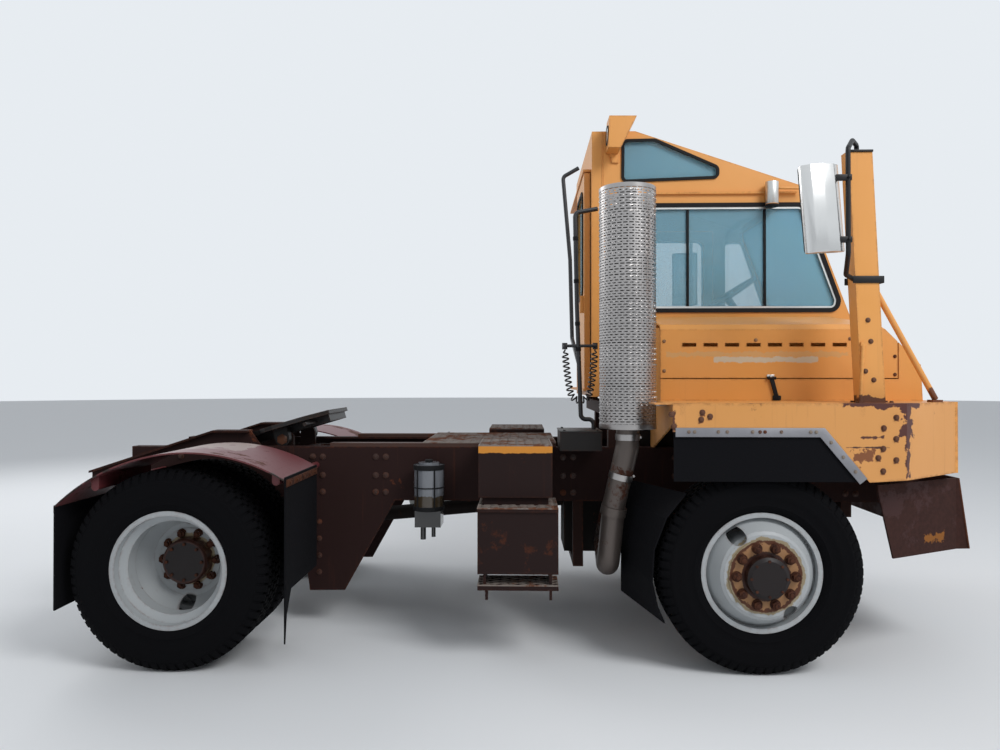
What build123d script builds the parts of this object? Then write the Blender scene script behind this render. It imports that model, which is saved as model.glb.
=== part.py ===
from build123d import *
import os
from math import cos, hypot, pi, radians, sin, tan

# Terminal tractor, in millimetres. +X is forward, +Y is the vehicle's left, Z is up from the ground.
# The origin is on the ground at the middle of the length and width.

# Overall reach
HALF_LENGTH = 2505
HALF_WIDTH_MIRRORS = 1300
BODY_HALF_WIDTH = 1222

# Clearances: in a bore, between seated faces, between moving faces
FIT = 0.05
SEAT_GAP = 0.3
RUN_GAP = 6

# Cutting blocks reach this far, past the whole vehicle
FAR = 4000

# Axles and wheels
REAR_AXLE_X = -1685
FRONT_AXLE_X = 1285
TYRE_RADIUS = 510
TYRE_HALF_WIDTH = 140
RIM_HALF_WIDTH = 112
RIM_FLANGE_RADIUS = 300
BEAD_RADIUS = 286
WELL_RADIUS = 250
RIM_WALL = 10
DISC_OUTSET = 167
STUD_CIRCLE_RADIUS = 142.9
STUD_COUNT = 10
HAND_HOLE_RADIUS = 228
HAND_HOLE_SIZE = 42
DRUM_RADIUS = 200
FRONT_CAP_RADIUS = 105
FRONT_RING_RADIUS = 180
FRONT_WHEEL_Y = 1040
REAR_OUTER_Y = 1075
REAR_INNER_Y = REAR_OUTER_Y - 2 * DISC_OUTSET
KINGPIN_Y = 890
SPINDLE_RADIUS = 35
REAR_SPINDLE_RADIUS = 45
SPINDLE_END = 972
FRONT_SPINDLE_END = 1150
REAR_HUB_RADIUS = 124
REAR_HUB_LENGTH = 80
DIFF_RADIUS = 205
DIFF_NOSE_X = REAR_AXLE_X + DIFF_RADIUS + 60

# Frame
RAIL_Y = 430
RAIL_TOP = 1070
RAIL_BOTTOM = 750
RAIL_FLANGE = 80
RAIL_WALL = 12
RAIL_REAR_X = -2260
RAIL_FRONT_X = 2371
GUSSET_FOOT_Z = 210
RAMP_TOP = 1169
CAB_BEAM_X = 650
CAB_BEAM_Z = (1250, 1330)
CAB_PAD_Y = (-120, 1020)

# Engine, gearbox and radiator seats
ENGINE_BOTTOM = 620
GEARBOX_BOTTOM = 400
GEARBOX_REAR_X = 360
RADIATOR_BOTTOM = 700
RADIATOR_X = 2010

# Deck, skirts and bumper
DECK_TOP = 1355
DECK_SHEET = 6
SKIRT_BOTTOM = 1215
DEEP_SKIRT_BOTTOM = 982
DECK_REAR_X = 745
CHAMFER_X = 1962
CHAMFER_Y = 909
APRON_WALL = 12
GRILLE_ROWS = 7
ARCH_FLAP_FOOT_Z = 972

# Rear fenders
FENDER_REAR_X = REAR_AXLE_X - TYRE_RADIUS - 48
FENDER_FRONT_X = REAR_AXLE_X + TYRE_RADIUS + 88
FENDER_GAP = 83
MUDGUARD_GAP = 30
MUDGUARD_INNER_X = FRONT_AXLE_X - TYRE_RADIUS - 124
MUDGUARD_Y = (72 - BODY_HALF_WIDTH, -720)

# Cab, in side view
CAB_RIGHT_Y = -200
CAB_LEFT_Y = 1100
CAB_FLOOR_Z = 1365
CAB_WALL = 40
CAB_REAR_X = 535
CAB_ROOF_Z = 3028
ROOF_BREAK_X = 805
WINDSHIELD_TOP = (1825, 2683)
WINDSHIELD_FOOT = (2130, 1867)
NOSE_TOP = (2291, 1600)
CAB_FRONT_X = 2301
GLASS = 6
CAB_HINGE = (2325, 1382)
CAB_HINGE_Y = (-80, 580)

# Cab windows as (x, z) or (y, z) corners, doors as low and high edge, foot and top
SIDE_WINDOW = [(760, 1907), (760, 2558), (1843, 2558), (2057, 1967), (2045, 1907)]
QUARTER_WINDOW = [(725, 2712), (728, 2968), (928, 2971), (1318, 2798), (1318, 2733)]
DOOR = (800, 1600, 1385, 2640)
DOOR_WINDOW = [(870, 1960), (870, 2570), (1535, 2570), (1535, 1960)]
DOOR_HINGE = (DOOR[1] + 4, CAB_LEFT_Y + 12)
DOOR_HINGE_Z = (1600, 2400)
LEFT_VENT = [(1700, 1960), (1700, 2560), (1840, 2560), (2040, 1960)]
REAR_DOOR = (-120, 480, 1415, 2790)
REAR_DOOR_WINDOW = [(-40, 2020), (-40, 2690), (400, 2690), (400, 2020)]
REAR_WINDOW = [(560, 2000), (560, 2720), (1010, 2720), (1010, 2000)]
WINDSHIELD_MARGIN = 60

# Inside the cab
STEER_CENTRE = (1545, 450, 2060)
STEER_TILT = 34
STEER_RADIUS = 215
SEAT_X = 1060
SEAT_Y = 450

# Hood on the right of the cab
HOOD_INNER_Y = -208
HOOD_OUTER_Y = -720
HOOD_REAR_X = 865
HOOD_SEAM_Z = 1481
HOOD_TOP_INNER = 1860
HOOD_TOP_OUTER = 1780
HOOD_BREAK_X = 2171
HOOD_SHEET = 15
HOOD_HINGE = (-221, 1852)
HOOD_HINGE_X = (1050, 1500, 1880)
SLOT_COUNT = 9

# Exhaust stack
STACK = (660, -880)
STACK_RADIUS = 150
STACK_BOTTOM = 1211
STACK_TOP = 2495
PIPE_RADIUS = 62

# Mirrors: head size across, deep and high, turn, and reach of its outermost corner
MIRROR_HEAD = (200, 60, 430)
MIRROR_CORNER = 14
MIRROR_TURN = 11.5
MIRROR_LEAN = 4.5
MIRROR_REACH = ((MIRROR_HEAD[0] / 2 - MIRROR_CORNER) * sin(radians(MIRROR_TURN))
                + (MIRROR_HEAD[1] / 2 - MIRROR_CORNER) * cos(radians(MIRROR_TURN)) + MIRROR_CORNER)

# Air lines behind the cab
PLATFORM_TOP = 1177
HOSE_ROUTE = [(350, -440, 1650), (372, -450, 1400), (410, -455, 1350), (468, -455, 1350), (508, -455, 1400),
              (530, -440, 1650)]
HOSE_RADIUS = 24

# Fifth wheel and its boom
BOOM_PIVOT = (-560, 900)
BOOM_SHAFT = 25
TRUNNION = (-1378, 1105)
PLATE_TILT = 16.7
LIFT_BASE = (-900, 560)
LIFT_EYE = (-1180, 960)
LIFT_Y = 160
LIFT_PIN = 30
LIFT_ROD = 30
LIFT_EYE_PIN = 16
LIFT_EYE_PLAY = 12
TRUNNION_PIN = 25
ARM_INNER_Y = 230
ARM_OUTER_Y = 265
PLATE_TOP = 95
PLATE_THICKNESS = 25
KINGPIN_SLOT = 52

# Steering
TIE_ROD_X = FRONT_AXLE_X - 180
TIE_ROD_Y = KINGPIN_Y
TIE_ROD_Z = 420


def box(x0, x1, y0, y1, z0, z1):
    """Block between two corners."""
    centre = Pos((x0 + x1) / 2, (y0 + y1) / 2, (z0 + z1) / 2)
    return centre * Box(abs(x1 - x0), abs(y1 - y0), abs(z1 - z0))


def outline(points, radius=0, reach=0):
    """Flat sheet in local XY with rounded corners, grown by reach."""
    sheet = Polygon(*points, align=None)
    if radius:
        sheet = fillet(sheet.vertices(), radius)
    if reach:
        sheet = offset(sheet, amount=reach, kind=Kind.INTERSECTION)
    return sheet


def side_plate(points, y0, y1, radius=0, reach=0):
    """Plate whose outline is given as (x, z), from y0 to y1."""
    plane = Plane(origin=(0, y1, 0), x_dir=(1, 0, 0), z_dir=(0, -1, 0))
    return extrude(plane * outline(points, radius, reach), amount=y1 - y0, dir=plane.z_dir)


def cross_plate(points, x0, x1, radius=0, reach=0):
    """Plate whose outline is given as (y, z), from x0 to x1."""
    plane = Plane(origin=(x0, 0, 0), x_dir=(0, 1, 0), z_dir=(1, 0, 0))
    return extrude(plane * outline(points, radius, reach), amount=x1 - x0, dir=plane.z_dir)


def flat_plate(points, z0, z1, radius=0):
    """Plate whose outline is given as (x, y), from z0 to z1."""
    return extrude(Pos(0, 0, z0) * outline(points, radius), amount=z1 - z0, dir=(0, 0, 1))


def rod(start, end, radius):
    """Round bar between two points."""
    first, last = Vector(*start), Vector(*end)
    run = last - first
    return Plane(origin=first, z_dir=run) * Cylinder(
        radius, run.length, align=(Align.CENTER, Align.CENTER, Align.MIN))


def tube(points, radius, bend):
    """Round tube along straight runs joined by tangent arcs."""
    path = FilletPolyline(*points, radius=bend)
    return sweep(Plane(origin=path @ 0, z_dir=path % 0) * Circle(radius), path=path)


def turned(profile):
    """Solid of revolution about Y from a table of (radius, y)."""
    return revolve(Polygon(*profile, align=None), axis=Axis.Y)


def mirrored(shape):
    """The same piece on the other side of the vehicle."""
    return mirror(shape, about=Plane.XZ)


def both_sides(shape):
    """A piece and its mirror image as two solids."""
    return Compound(children=[*shape.solids(), *mirrored(shape).solids()])


def group(*shapes):
    """Several solids that do not touch, kept as one node."""
    return Compound(children=[solid for shape in shapes for solid in shape.solids()])


def save(name, shape):
    """Write one piece."""
    export_step(shape, f"parts/{name}.step")


# Channel rails with drop gussets, rear ramps, boom pivot blocks and lift pins
def make_rails():
    inner_y = RAIL_Y - RAIL_WALL
    flange_y = RAIL_Y - RAIL_FLANGE
    web = box(RAIL_REAR_X, RAIL_FRONT_X, inner_y, RAIL_Y, RAIL_BOTTOM, RAIL_TOP)
    top = box(RAIL_REAR_X, RAIL_FRONT_X, flange_y, inner_y, RAIL_TOP - RAIL_WALL, RAIL_TOP)
    bottom = box(RAIL_REAR_X, RAIL_FRONT_X, flange_y, inner_y, RAIL_BOTTOM, RAIL_BOTTOM + RAIL_WALL)
    gusset = side_plate(
        [(-664, RAIL_BOTTOM), (-965, GUSSET_FOOT_Z + 2), (-1176, GUSSET_FOOT_Z), (-1250, RAIL_BOTTOM)],
        inner_y, RAIL_Y)
    lift_pin = rod((LIFT_BASE[0], inner_y, LIFT_BASE[1]), (LIFT_BASE[0], LIFT_Y - 45, LIFT_BASE[1]), LIFT_PIN)
    ramp_line = [(-HALF_LENGTH, 925), (-1755, RAMP_TOP), (-1542, RAMP_TOP)]
    ramp_web = side_plate(
        [(-HALF_LENGTH, 877), *ramp_line, (-1470, RAIL_TOP), (-1470, 1000), (-2200, 800), (-2262, 800)],
        inner_y, RAIL_Y)
    ramp_cap = side_plate(
        [*ramp_line, (-1542, RAMP_TOP - 12), (-1757, RAMP_TOP - 12), (-HALF_LENGTH, 912)],
        RAIL_Y - 50, RAIL_Y + 40)
    pivot_block = box(BOOM_PIVOT[0] - 60, BOOM_PIVOT[0] + 60, flange_y, inner_y,
                      BOOM_PIVOT[1] - 60, BOOM_PIVOT[1] + 60)
    return both_sides(web + top + bottom + gusset + lift_pin + ramp_web + ramp_cap + pivot_block)


# Crossmembers between the rails, the boom's pivot shaft and the beam under the rear of the cab
def make_crossmembers():
    inner_y = RAIL_Y - RAIL_WALL
    flange_y = RAIL_Y - RAIL_FLANGE
    px, pz = BOOM_PIVOT
    members = [rod((px, -flange_y, pz), (px, flange_y, pz), BOOM_SHAFT)]
    # Straight crossmembers: middle x, lowest z, highest z
    for x, z0, z1 in [(-2230, 800, 980), (-100, 800, 1000), (250, 800, 1000), (2320, 800, 1000)]:
        members.append(box(x - 30, x + 30, -inner_y, inner_y, z0, z1))
    # Dropped crossmembers that carry the engine, gearbox and radiator: middle x, seat height
    for x, seat in [(430, GEARBOX_BOTTOM), (820, ENGINE_BOTTOM), (1690, ENGINE_BOTTOM),
                    (RADIATOR_X, RADIATOR_BOTTOM)]:
        member = box(x - 30, x + 30, -inner_y, inner_y, seat - 40, seat)
        for y0, y1 in [(flange_y, inner_y), (-inner_y, -flange_y)]:
            member += box(x - 30, x + 30, y0, y1, seat - 40, RAIL_BOTTOM)
        members.append(member)
    low, high = CAB_BEAM_Z
    beam = box(CAB_BEAM_X - 40, CAB_BEAM_X + 40, -RAIL_Y, CAB_LEFT_Y - 20, low, high)
    for y in (-RAIL_Y + 40, RAIL_Y - 40):
        beam += box(CAB_BEAM_X - 40, CAB_BEAM_X + 40, y - 40, y + 40, RAIL_TOP, high)
    for y in CAB_PAD_Y:
        beam += rod((CAB_BEAM_X, y, high - 1), (CAB_BEAM_X, y, CAB_FLOOR_Z - SEAT_GAP), 45)
    return group(*members, beam)


# Engine, gearbox and radiator as plain blocks at their real places
def make_engine():
    engine = box(775, 1720, -320, 320, ENGINE_BOTTOM, 1290)
    gearbox = box(GEARBOX_REAR_X, 775, -190, 190, GEARBOX_BOTTOM, 960)
    fan_shaft = rod((1720, 0, 1000), (RADIATOR_X - 45, 0, 1000), 35)
    radiator = box(RADIATOR_X - 45, RADIATOR_X + 45, -340, 340, RADIATOR_BOTTOM, 1330)
    return engine + gearbox + fan_shaft + radiator


# Shaft from the gearbox to the rear axle
def make_driveshaft():
    front, rear = GEARBOX_REAR_X - SEAT_GAP, DIFF_NOSE_X + SEAT_GAP
    shaft = rod((front + 40, 0, 704), (rear - 40, 0, 538), 45)
    return shaft & box(rear, front, -60, 60, 400, 900)


# Rear axle: tube, bowl, nose, seats under the rails and wheel spindles
def make_rear_axle():
    axle = rod((REAR_AXLE_X, -560, TYRE_RADIUS), (REAR_AXLE_X, 560, TYRE_RADIUS), 75)
    axle += Pos(REAR_AXLE_X, 0, TYRE_RADIUS) * Sphere(DIFF_RADIUS)
    axle += rod((REAR_AXLE_X, 0, TYRE_RADIUS + 32), (DIFF_NOSE_X, 0, TYRE_RADIUS + 32), 90)
    axle += rod((REAR_AXLE_X, -SPINDLE_END, TYRE_RADIUS), (REAR_AXLE_X, SPINDLE_END, TYRE_RADIUS),
                REAR_SPINDLE_RADIUS)
    for sign in (-1, 1):
        y0, y1 = sorted((sign * (RAIL_Y - RAIL_FLANGE), sign * RAIL_Y))
        axle += box(REAR_AXLE_X - 110, REAR_AXLE_X + 110, y0, y1, TYRE_RADIUS + 20, RAIL_BOTTOM)
    return axle


# Front axle beam with its bosses and the leaf springs that carry the rails
def make_front_axle():
    x, z = FRONT_AXLE_X, TYRE_RADIUS
    beam = box(x - 50, x + 50, -KINGPIN_Y + 30, KINGPIN_Y - 30, z - 45, z + 45)
    spring = side_plate(
        [(x - 340, 690), (x - 115, 590), (x - 60, z + 45), (x + 60, z + 45), (x + 115, 590),
         (x + 340, 690), (x + 340, 704), (x, 625), (x - 340, 704)], 358, 426)
    hangers = [box(x + dx - 22, x + dx + 22, 358, 426, 680, RAIL_BOTTOM) for dx in (-340, 340)]
    boss = rod((x, KINGPIN_Y, z - 70), (x, KINGPIN_Y, z + 70), 45)
    for piece in (spring, *hangers, boss):
        beam += piece
        beam += mirrored(piece)
    bore = rod((x, KINGPIN_Y, z - 80), (x, KINGPIN_Y, z + 80), 24 + FIT)
    return beam - bore - mirrored(bore)


# Left steering knuckle: ears above and below the boss, spindle and steering arm
def make_knuckle():
    x, y, z = FRONT_AXLE_X, KINGPIN_Y, TYRE_RADIUS
    knuckle = rod((x, y, z - 100), (x, y, z + 100), 24)
    for z0 in (z - 110, z + 70 + SEAT_GAP):
        knuckle += rod((x, y, z0), (x, y, z0 + 40 - SEAT_GAP), 45)
        knuckle += box(x - 40, x + 40, y, y + 62, z0, z0 + 40 - SEAT_GAP)
    knuckle += box(x - 55, x + 55, y + 50, y + 70, z - 110, z + 110)
    knuckle += rod((x, y + 70, z), (x, FRONT_SPINDLE_END, z), SPINDLE_RADIUS)
    knuckle += flat_plate([(x - 40, y + 40), (x - 40, y - 20), (TIE_ROD_X - 22, TIE_ROD_Y - 22),
                           (TIE_ROD_X - 22, TIE_ROD_Y + 22)], z - 110, z - 80)
    ball = rod((TIE_ROD_X, TIE_ROD_Y, TIE_ROD_Z - 45), (TIE_ROD_X, TIE_ROD_Y, z - 80), 10)
    return knuckle + ball


# Tie rod between the two steering arms
def make_tie_rod():
    z0, z1 = TIE_ROD_Z - 42, TIE_ROD_Z - 20 - SEAT_GAP
    bar = rod((TIE_ROD_X, -TIE_ROD_Y, (z0 + z1) / 2), (TIE_ROD_X, TIE_ROD_Y, (z0 + z1) / 2), 10.5)
    for sign, clearance in ((1, FIT), (-1, 0.6)):
        eye = rod((TIE_ROD_X, sign * TIE_ROD_Y, z0), (TIE_ROD_X, sign * TIE_ROD_Y, z1), 26)
        hole = rod((TIE_ROD_X, sign * TIE_ROD_Y, z0 - 20), (TIE_ROD_X, sign * TIE_ROD_Y, z1 + 20),
                   10 + clearance)
        bar = bar + eye - hole
    return bar


# Steel rim and disc about the Y axis, middle at y = 0, disc towards +Y
def rim_shell(hand_holes):
    half, lip = RIM_HALF_WIDTH, RIM_HALF_WIDTH - 8
    tyre_side = [(RIM_FLANGE_RADIUS, -half), (RIM_FLANGE_RADIUS, -lip), (BEAD_RADIUS, -lip),
                 (BEAD_RADIUS, -60), (WELL_RADIUS, -38), (WELL_RADIUS, 38), (BEAD_RADIUS, 60),
                 (BEAD_RADIUS, lip), (RIM_FLANGE_RADIUS, lip), (RIM_FLANGE_RADIUS, half)]
    hub_side = [(BEAD_RADIUS - RIM_WALL, half), (BEAD_RADIUS - RIM_WALL, 62),
                (WELL_RADIUS - RIM_WALL, 40), (WELL_RADIUS - RIM_WALL, -40),
                (BEAD_RADIUS - RIM_WALL, -62), (BEAD_RADIUS - RIM_WALL, -half)]
    barrel = turned(tyre_side + hub_side)
    face = DISC_OUTSET
    disc = turned([(WELL_RADIUS + 22, 52), (WELL_RADIUS + 22, 66), (218, face - 10), (202, face),
                   (80, face), (80, face - 12), (197, face - 12), (208, face - 22)])
    rim = barrel + disc
    for angle in hand_holes:
        x, z = HAND_HOLE_RADIUS * cos(radians(angle)), HAND_HOLE_RADIUS * sin(radians(angle))
        rim -= rod((x, face - 105, z), (x, face + 20, z), HAND_HOLE_SIZE)
    return rim


# Ring of nuts standing on a disc face
def nut_ring(face, outward):
    nuts = []
    for index in range(STUD_COUNT):
        angle = 2 * pi * index / STUD_COUNT
        x, z = STUD_CIRCLE_RADIUS * cos(angle), STUD_CIRCLE_RADIUS * sin(angle)
        nuts.append(rod((x, face, z), (x, face + outward * 28, z), 18))
    return nuts


# Front wheel: rim, brake drum, hub, nuts and cap in one piece
def make_front_rim():
    rim = rim_shell((125, 305))
    face = DISC_OUTSET
    cap, ring = FRONT_CAP_RADIUS, FRONT_RING_RADIUS
    hub = turned([(0, face + 62), (cap - 20, face + 62), (cap - 3, face + 48), (cap, face + 6), (ring, face + 6),
                  (ring, face), (80, face), (80, 40), (0, 40)])
    drum = turned([(SPINDLE_RADIUS + 5, face - 12), (170, face - 12), (DRUM_RADIUS, face - 60),
                   (DRUM_RADIUS, -70), (DRUM_RADIUS - 10, -70), (DRUM_RADIUS - 10, 20), (SPINDLE_RADIUS + 5, 20)])
    rim = rim + hub + drum
    for nut in nut_ring(face, 1):
        rim += nut
    return rim - rod((0, -120, 0), (0, FRONT_SPINDLE_END - FRONT_WHEEL_Y + SEAT_GAP, 0), SPINDLE_RADIUS + FIT)


# Rear pair of wheels, discs back to back on one hub, at true Y
def make_rear_rims():
    outer = Pos(0, REAR_OUTER_Y, 0) * mirrored(rim_shell((90, 270)))
    inner = Pos(0, REAR_INNER_Y, 0) * rim_shell((90, 270))
    face = REAR_OUTER_Y - DISC_OUTSET
    outside = face + 12
    hub_end = outside + REAR_HUB_LENGTH
    hub = turned([(0, hub_end), (REAR_HUB_RADIUS - 14, hub_end), (REAR_HUB_RADIUS - 5, hub_end - 10),
                  (REAR_HUB_RADIUS, outside + 8), (165, outside + 6), (165, outside), (80, outside), (80, face - 12),
                  (DRUM_RADIUS, face - 12), (DRUM_RADIUS, 600), (190, 600), (190, 700), (0, 700)])
    rims = outer + inner + hub
    for nut in nut_ring(outside, 1):
        rims += nut
    return rims - rod((0, 580, 0), (0, SPINDLE_END + SEAT_GAP, 0), REAR_SPINDLE_RADIUS + FIT)


# Tyre about the Y axis, middle at y = 0
def make_tyre():
    half, bead = TYRE_HALF_WIDTH, RIM_HALF_WIDTH - 8 - SEAT_GAP
    one_side = [(BEAD_RADIUS + SEAT_GAP, bead), (RIM_FLANGE_RADIUS + SEAT_GAP, bead),
                (RIM_FLANGE_RADIUS + 8, bead + 12), (390, half), (455, half - 8), (492, half - 26),
                (TYRE_RADIUS - 4, half - 44)]
    profile = one_side + [(TYRE_RADIUS, 0)] + [(r, -y) for r, y in reversed(one_side)]
    return turned(profile)


# Deck plate with its skirts and brackets, right side
def make_fender():
    half = BODY_HALF_WIDTH
    top = flat_plate([(DECK_REAR_X, -half), (CHAMFER_X, -half), (RAIL_FRONT_X, -CHAMFER_Y),
                      (RAIL_FRONT_X, -700), (825, -700), (825, -1040), (DECK_REAR_X, -1040)],
                     DECK_TOP - DECK_SHEET, DECK_TOP)
    skirt = side_plate([(832, SKIRT_BOTTOM), (832, DECK_TOP), (CHAMFER_X, DECK_TOP),
                        (CHAMFER_X, DEEP_SKIRT_BOTTOM), (1784, DEEP_SKIRT_BOTTOM - 11), (1577, SKIRT_BOTTOM)],
                       -half, -half + DECK_SHEET)
    run, drop = RAIL_FRONT_X - CHAMFER_X, half - CHAMFER_Y
    length = hypot(run, drop)
    corner = flat_plate([(CHAMFER_X, -half), (RAIL_FRONT_X, -CHAMFER_Y),
                         (RAIL_FRONT_X, -CHAMFER_Y + DECK_SHEET * length / run), (CHAMFER_X, -half + DECK_SHEET)],
                        DEEP_SKIRT_BOTTOM, DECK_TOP)
    fender = top + skirt + corner
    for x in (872, 1745, 2240):
        inner = HOOD_INNER_Y + 3
        outer = -half + 2 if x < CHAMFER_X else -CHAMFER_Y - 90
        fender += cross_plate([(inner, DECK_TOP - DECK_SHEET), (inner, 1300), (-RAIL_Y + RAIL_FLANGE, 1300),
                               (-RAIL_Y + RAIL_FLANGE, RAIL_TOP),
                               (-RAIL_Y, RAIL_TOP), (outer, 1300), (outer, DECK_TOP - DECK_SHEET)], x, x + 10)
    return fender


# Front apron between the corner plates, with cooling slots and the cab's hinge lugs
def make_apron():
    x0, x1 = RAIL_FRONT_X, RAIL_FRONT_X + APRON_WALL
    apron = box(x0, x1, -CHAMFER_Y, CHAMFER_Y, DEEP_SKIRT_BOTTOM, DECK_TOP)
    for row in range(GRILLE_ROWS):
        z = 1090 + row * 34
        for y0, y1 in ((-440, -10), (10, 440)):
            apron -= box(x0 - 1, x1 + 1, y0, y1, z, z + 16)
    apron += box(CAB_FRONT_X + 10, x0, -694, 694, DECK_TOP - DECK_SHEET, DECK_TOP)
    for y in CAB_HINGE_Y:
        for offset_y in (-40, 40):
            low, high = y + offset_y - 18, y + offset_y + 18
            apron += rod((CAB_HINGE[0], low, CAB_HINGE[1]), (CAB_HINGE[0], high, CAB_HINGE[1]), 16)
            apron += box(CAB_HINGE[0] - 8, CAB_HINGE[0] + 30, low, high, DECK_TOP - 1, CAB_HINGE[1])
        apron += rod((CAB_HINGE[0], y - 50, CAB_HINGE[1]), (CAB_HINGE[0], y + 50, CAB_HINGE[1]), 8)
    return apron


# Low push bumper of thick plate with swept ends
def make_bumper():
    top, bottom, nose = 942, 562, HALF_LENGTH
    front = side_plate([(nose - 69, top), (nose - 57, top), (nose, bottom), (nose - 14, bottom)], -800, 800)
    shell = front
    for sign in (-1, 1):
        end = flat_plate([(1880, sign * 1100), (nose - 63, sign * 800), (nose - 63, sign * 784),
                          (1880, sign * 1084)],
                         bottom, top)
        end -= side_plate([(1870, bottom - 1), (1980, bottom - 1), (1870, top + 1)], -1200, 1200)
        toe = flat_plate([(nose - 75, sign * 806), (nose - 4, sign * 800), (nose - 63, sign * 784)], bottom, top)
        toe -= side_plate([(nose - 61, top + 1), (nose - 1, bottom - 1), (nose + 95, bottom - 1),
                           (nose + 95, top + 1)], -1200, 1200)
        shell += end
        shell += toe
        shell += box(RAIL_FRONT_X - 120, nose - 59, sign * RAIL_Y, sign * (RAIL_Y + 16), 770, 930)
    return shell


# Rubber flaps at the arches and behind the wheels, right side
def make_flaps():
    half = BODY_HALF_WIDTH - DECK_SHEET
    arch = side_plate([(838, SKIRT_BOTTOM + 60), (838, ARCH_FLAP_FOOT_Z), (1751, ARCH_FLAP_FOOT_Z), (1600, 1175), (1600, SKIRT_BOTTOM + 60)],
                      -half, -half + 5)
    # Mudguard behind the front wheel: angle around the tyre at its outer edge, height and x at its inner edge
    shape = [(47, 915, 51), (30, 800, 9), (12, 640, 0), (-5, 500, 0), (-18, 390, 0), (-28, 300, 0)]
    reach, inner_x, thickness = TYRE_RADIUS + MUDGUARD_GAP, MUDGUARD_INNER_X, 7
    outer_edge = [(FRONT_AXLE_X - reach * cos(radians(a)), TYRE_RADIUS + reach * sin(radians(a))) for a, z, x in shape]
    inner_edge = [(inner_x + x, z) for a, z, x in shape]
    sections = []
    for y, edge in zip(MUDGUARD_Y, (outer_edge, inner_edge)):
        strip = edge + [(x - thickness, z + 1) for x, z in reversed(edge)]
        plane = Plane(origin=(0, y, 0), x_dir=(1, 0, 0), z_dir=(0, -1, 0))
        sections.append(plane * outline(strip))
    behind = loft(sections, ruled=True)
    stay_x, stay_z = inner_x + 4, 760
    behind += rod((stay_x, MUDGUARD_Y[1] - 20, stay_z), (stay_x, -RAIL_Y, stay_z), 12)
    outer = 7 - BODY_HALF_WIDTH
    rear = box(FENDER_REAR_X - 8, FENDER_REAR_X, outer, -640, 315, TYRE_RADIUS + 331)
    torn = [(outer, 158), (outer + 25, 300), (outer + 95, 410), (-640, 410), (-640, TYRE_RADIUS + 475),
            (outer, TYRE_RADIUS + 475)]
    front = cross_plate(torn, FENDER_FRONT_X, FENDER_FRONT_X + 8)
    return group(arch, behind, rear, front)


# Rear fender: one rolled sheet over the twin wheels with two stays, right side
def make_rear_fender():
    low, high = (FENDER_REAR_X, TYRE_RADIUS + 331), (FENDER_FRONT_X, TYRE_RADIUS + 465)
    crown = (REAR_AXLE_X - 5, 2 * TYRE_RADIUS + FENDER_GAP)
    thickness = 8
    outer = ThreePointArc((*low, 0), (*crown, 0), (*high, 0))
    inner = ThreePointArc((high[0], high[1] - thickness, 0), (crown[0], crown[1] - thickness, 0),
                          (low[0], low[1] - thickness, 0))
    sheet = make_face([outer, Line(outer @ 1, inner @ 0), inner, Line(inner @ 1, outer @ 0)])
    plane = Plane(origin=(0, -620, 0), x_dir=(1, 0, 0), z_dir=(0, -1, 0))
    fender = extrude(plane * sheet, amount=BODY_HALF_WIDTH - 620, dir=plane.z_dir)
    below = make_face([inner, Line(inner @ 1, inner @ 0)])
    room = extrude(plane * below, amount=BODY_HALF_WIDTH - 620, dir=plane.z_dir)
    # Stays: angle about the axle and distance out from the tread
    for angle, outset in ((131.8, 53), (39.5, 197)):
        x = REAR_AXLE_X + (TYRE_RADIUS + outset) * cos(radians(angle))
        z = TYRE_RADIUS + (TYRE_RADIUS + outset) * sin(radians(angle))
        fender += rod((x, -RAIL_Y, z), (x, 42 - BODY_HALF_WIDTH, z), 20)
        fender += box(x - 20, x + 20, 42 - BODY_HALF_WIDTH, -640, z, z + 150) & room
    return fender


# Step boxes on both sides of the frame
def make_steps():
    x0, x1 = -135, 255
    upper = box(x0, x1, -960, -RAIL_Y, 850, 1120)
    lower = box(x0, x1 + 27, -1050, -700, 470, 800)
    joint = box(x0 + 20, x1 - 20, -940, -720, 799, 851)
    tread = box(x0 - 2, x1 + 27, -1060, -700, 790, 806)
    hangers = [box(x, x + 14, -1000, -960, 395, 475) for x in (x0 + 30, x1 - 20)]
    foot = box(x0, x1 + 27, -1060, -860, 389, 412)
    prongs = [box(x, x + 14, -1052, -1036, 339, 392) for x in (x0 + 40, x1 - 20)]
    right = upper + lower + joint + tread + foot
    for piece in (*hangers, *prongs):
        right += piece
    for x in (x0 + 30, x1 - 20):
        right += box(x, x + 14, -1045, -880, 411, 471)
    return both_sides(right)


# Round fuel tank with straps on the left rail
def make_fuel_tank():
    tank = rod((-720, RAIL_Y + 270, 760), (-180, RAIL_Y + 270, 760), 235)
    tank += rod((-450, RAIL_Y + 270, 980), (-450, RAIL_Y + 270, 1040), 45)
    for x in (-640, -300):
        tank += rod((x, RAIL_Y + 270, 760), (x + 50, RAIL_Y + 270, 760), 241)
        tank += box(x, x + 50, RAIL_Y, RAIL_Y + 60, 760, 1000)
    return tank


# Grease pump with its reservoir on the right rail
def make_grease_pump():
    x, y = -448, -(RAIL_Y + 105)
    pump = rod((x, y, 713), (x, y, 975), 86)
    pump += rod((x, y, 975), (x, y, 990), 60)
    pump += box(x - 75, x + 75, y - 60, -RAIL_Y, 620, 714)
    pump += box(x - 75, x + 75, -RAIL_Y - 12, -RAIL_Y, 620, 860)
    pump += rod((x - 30, y - 20, 545), (x - 30, y - 20, 621), 16)
    pump += rod((x + 30, y - 20, 560), (x + 30, y - 20, 621), 12)
    return pump


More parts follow.
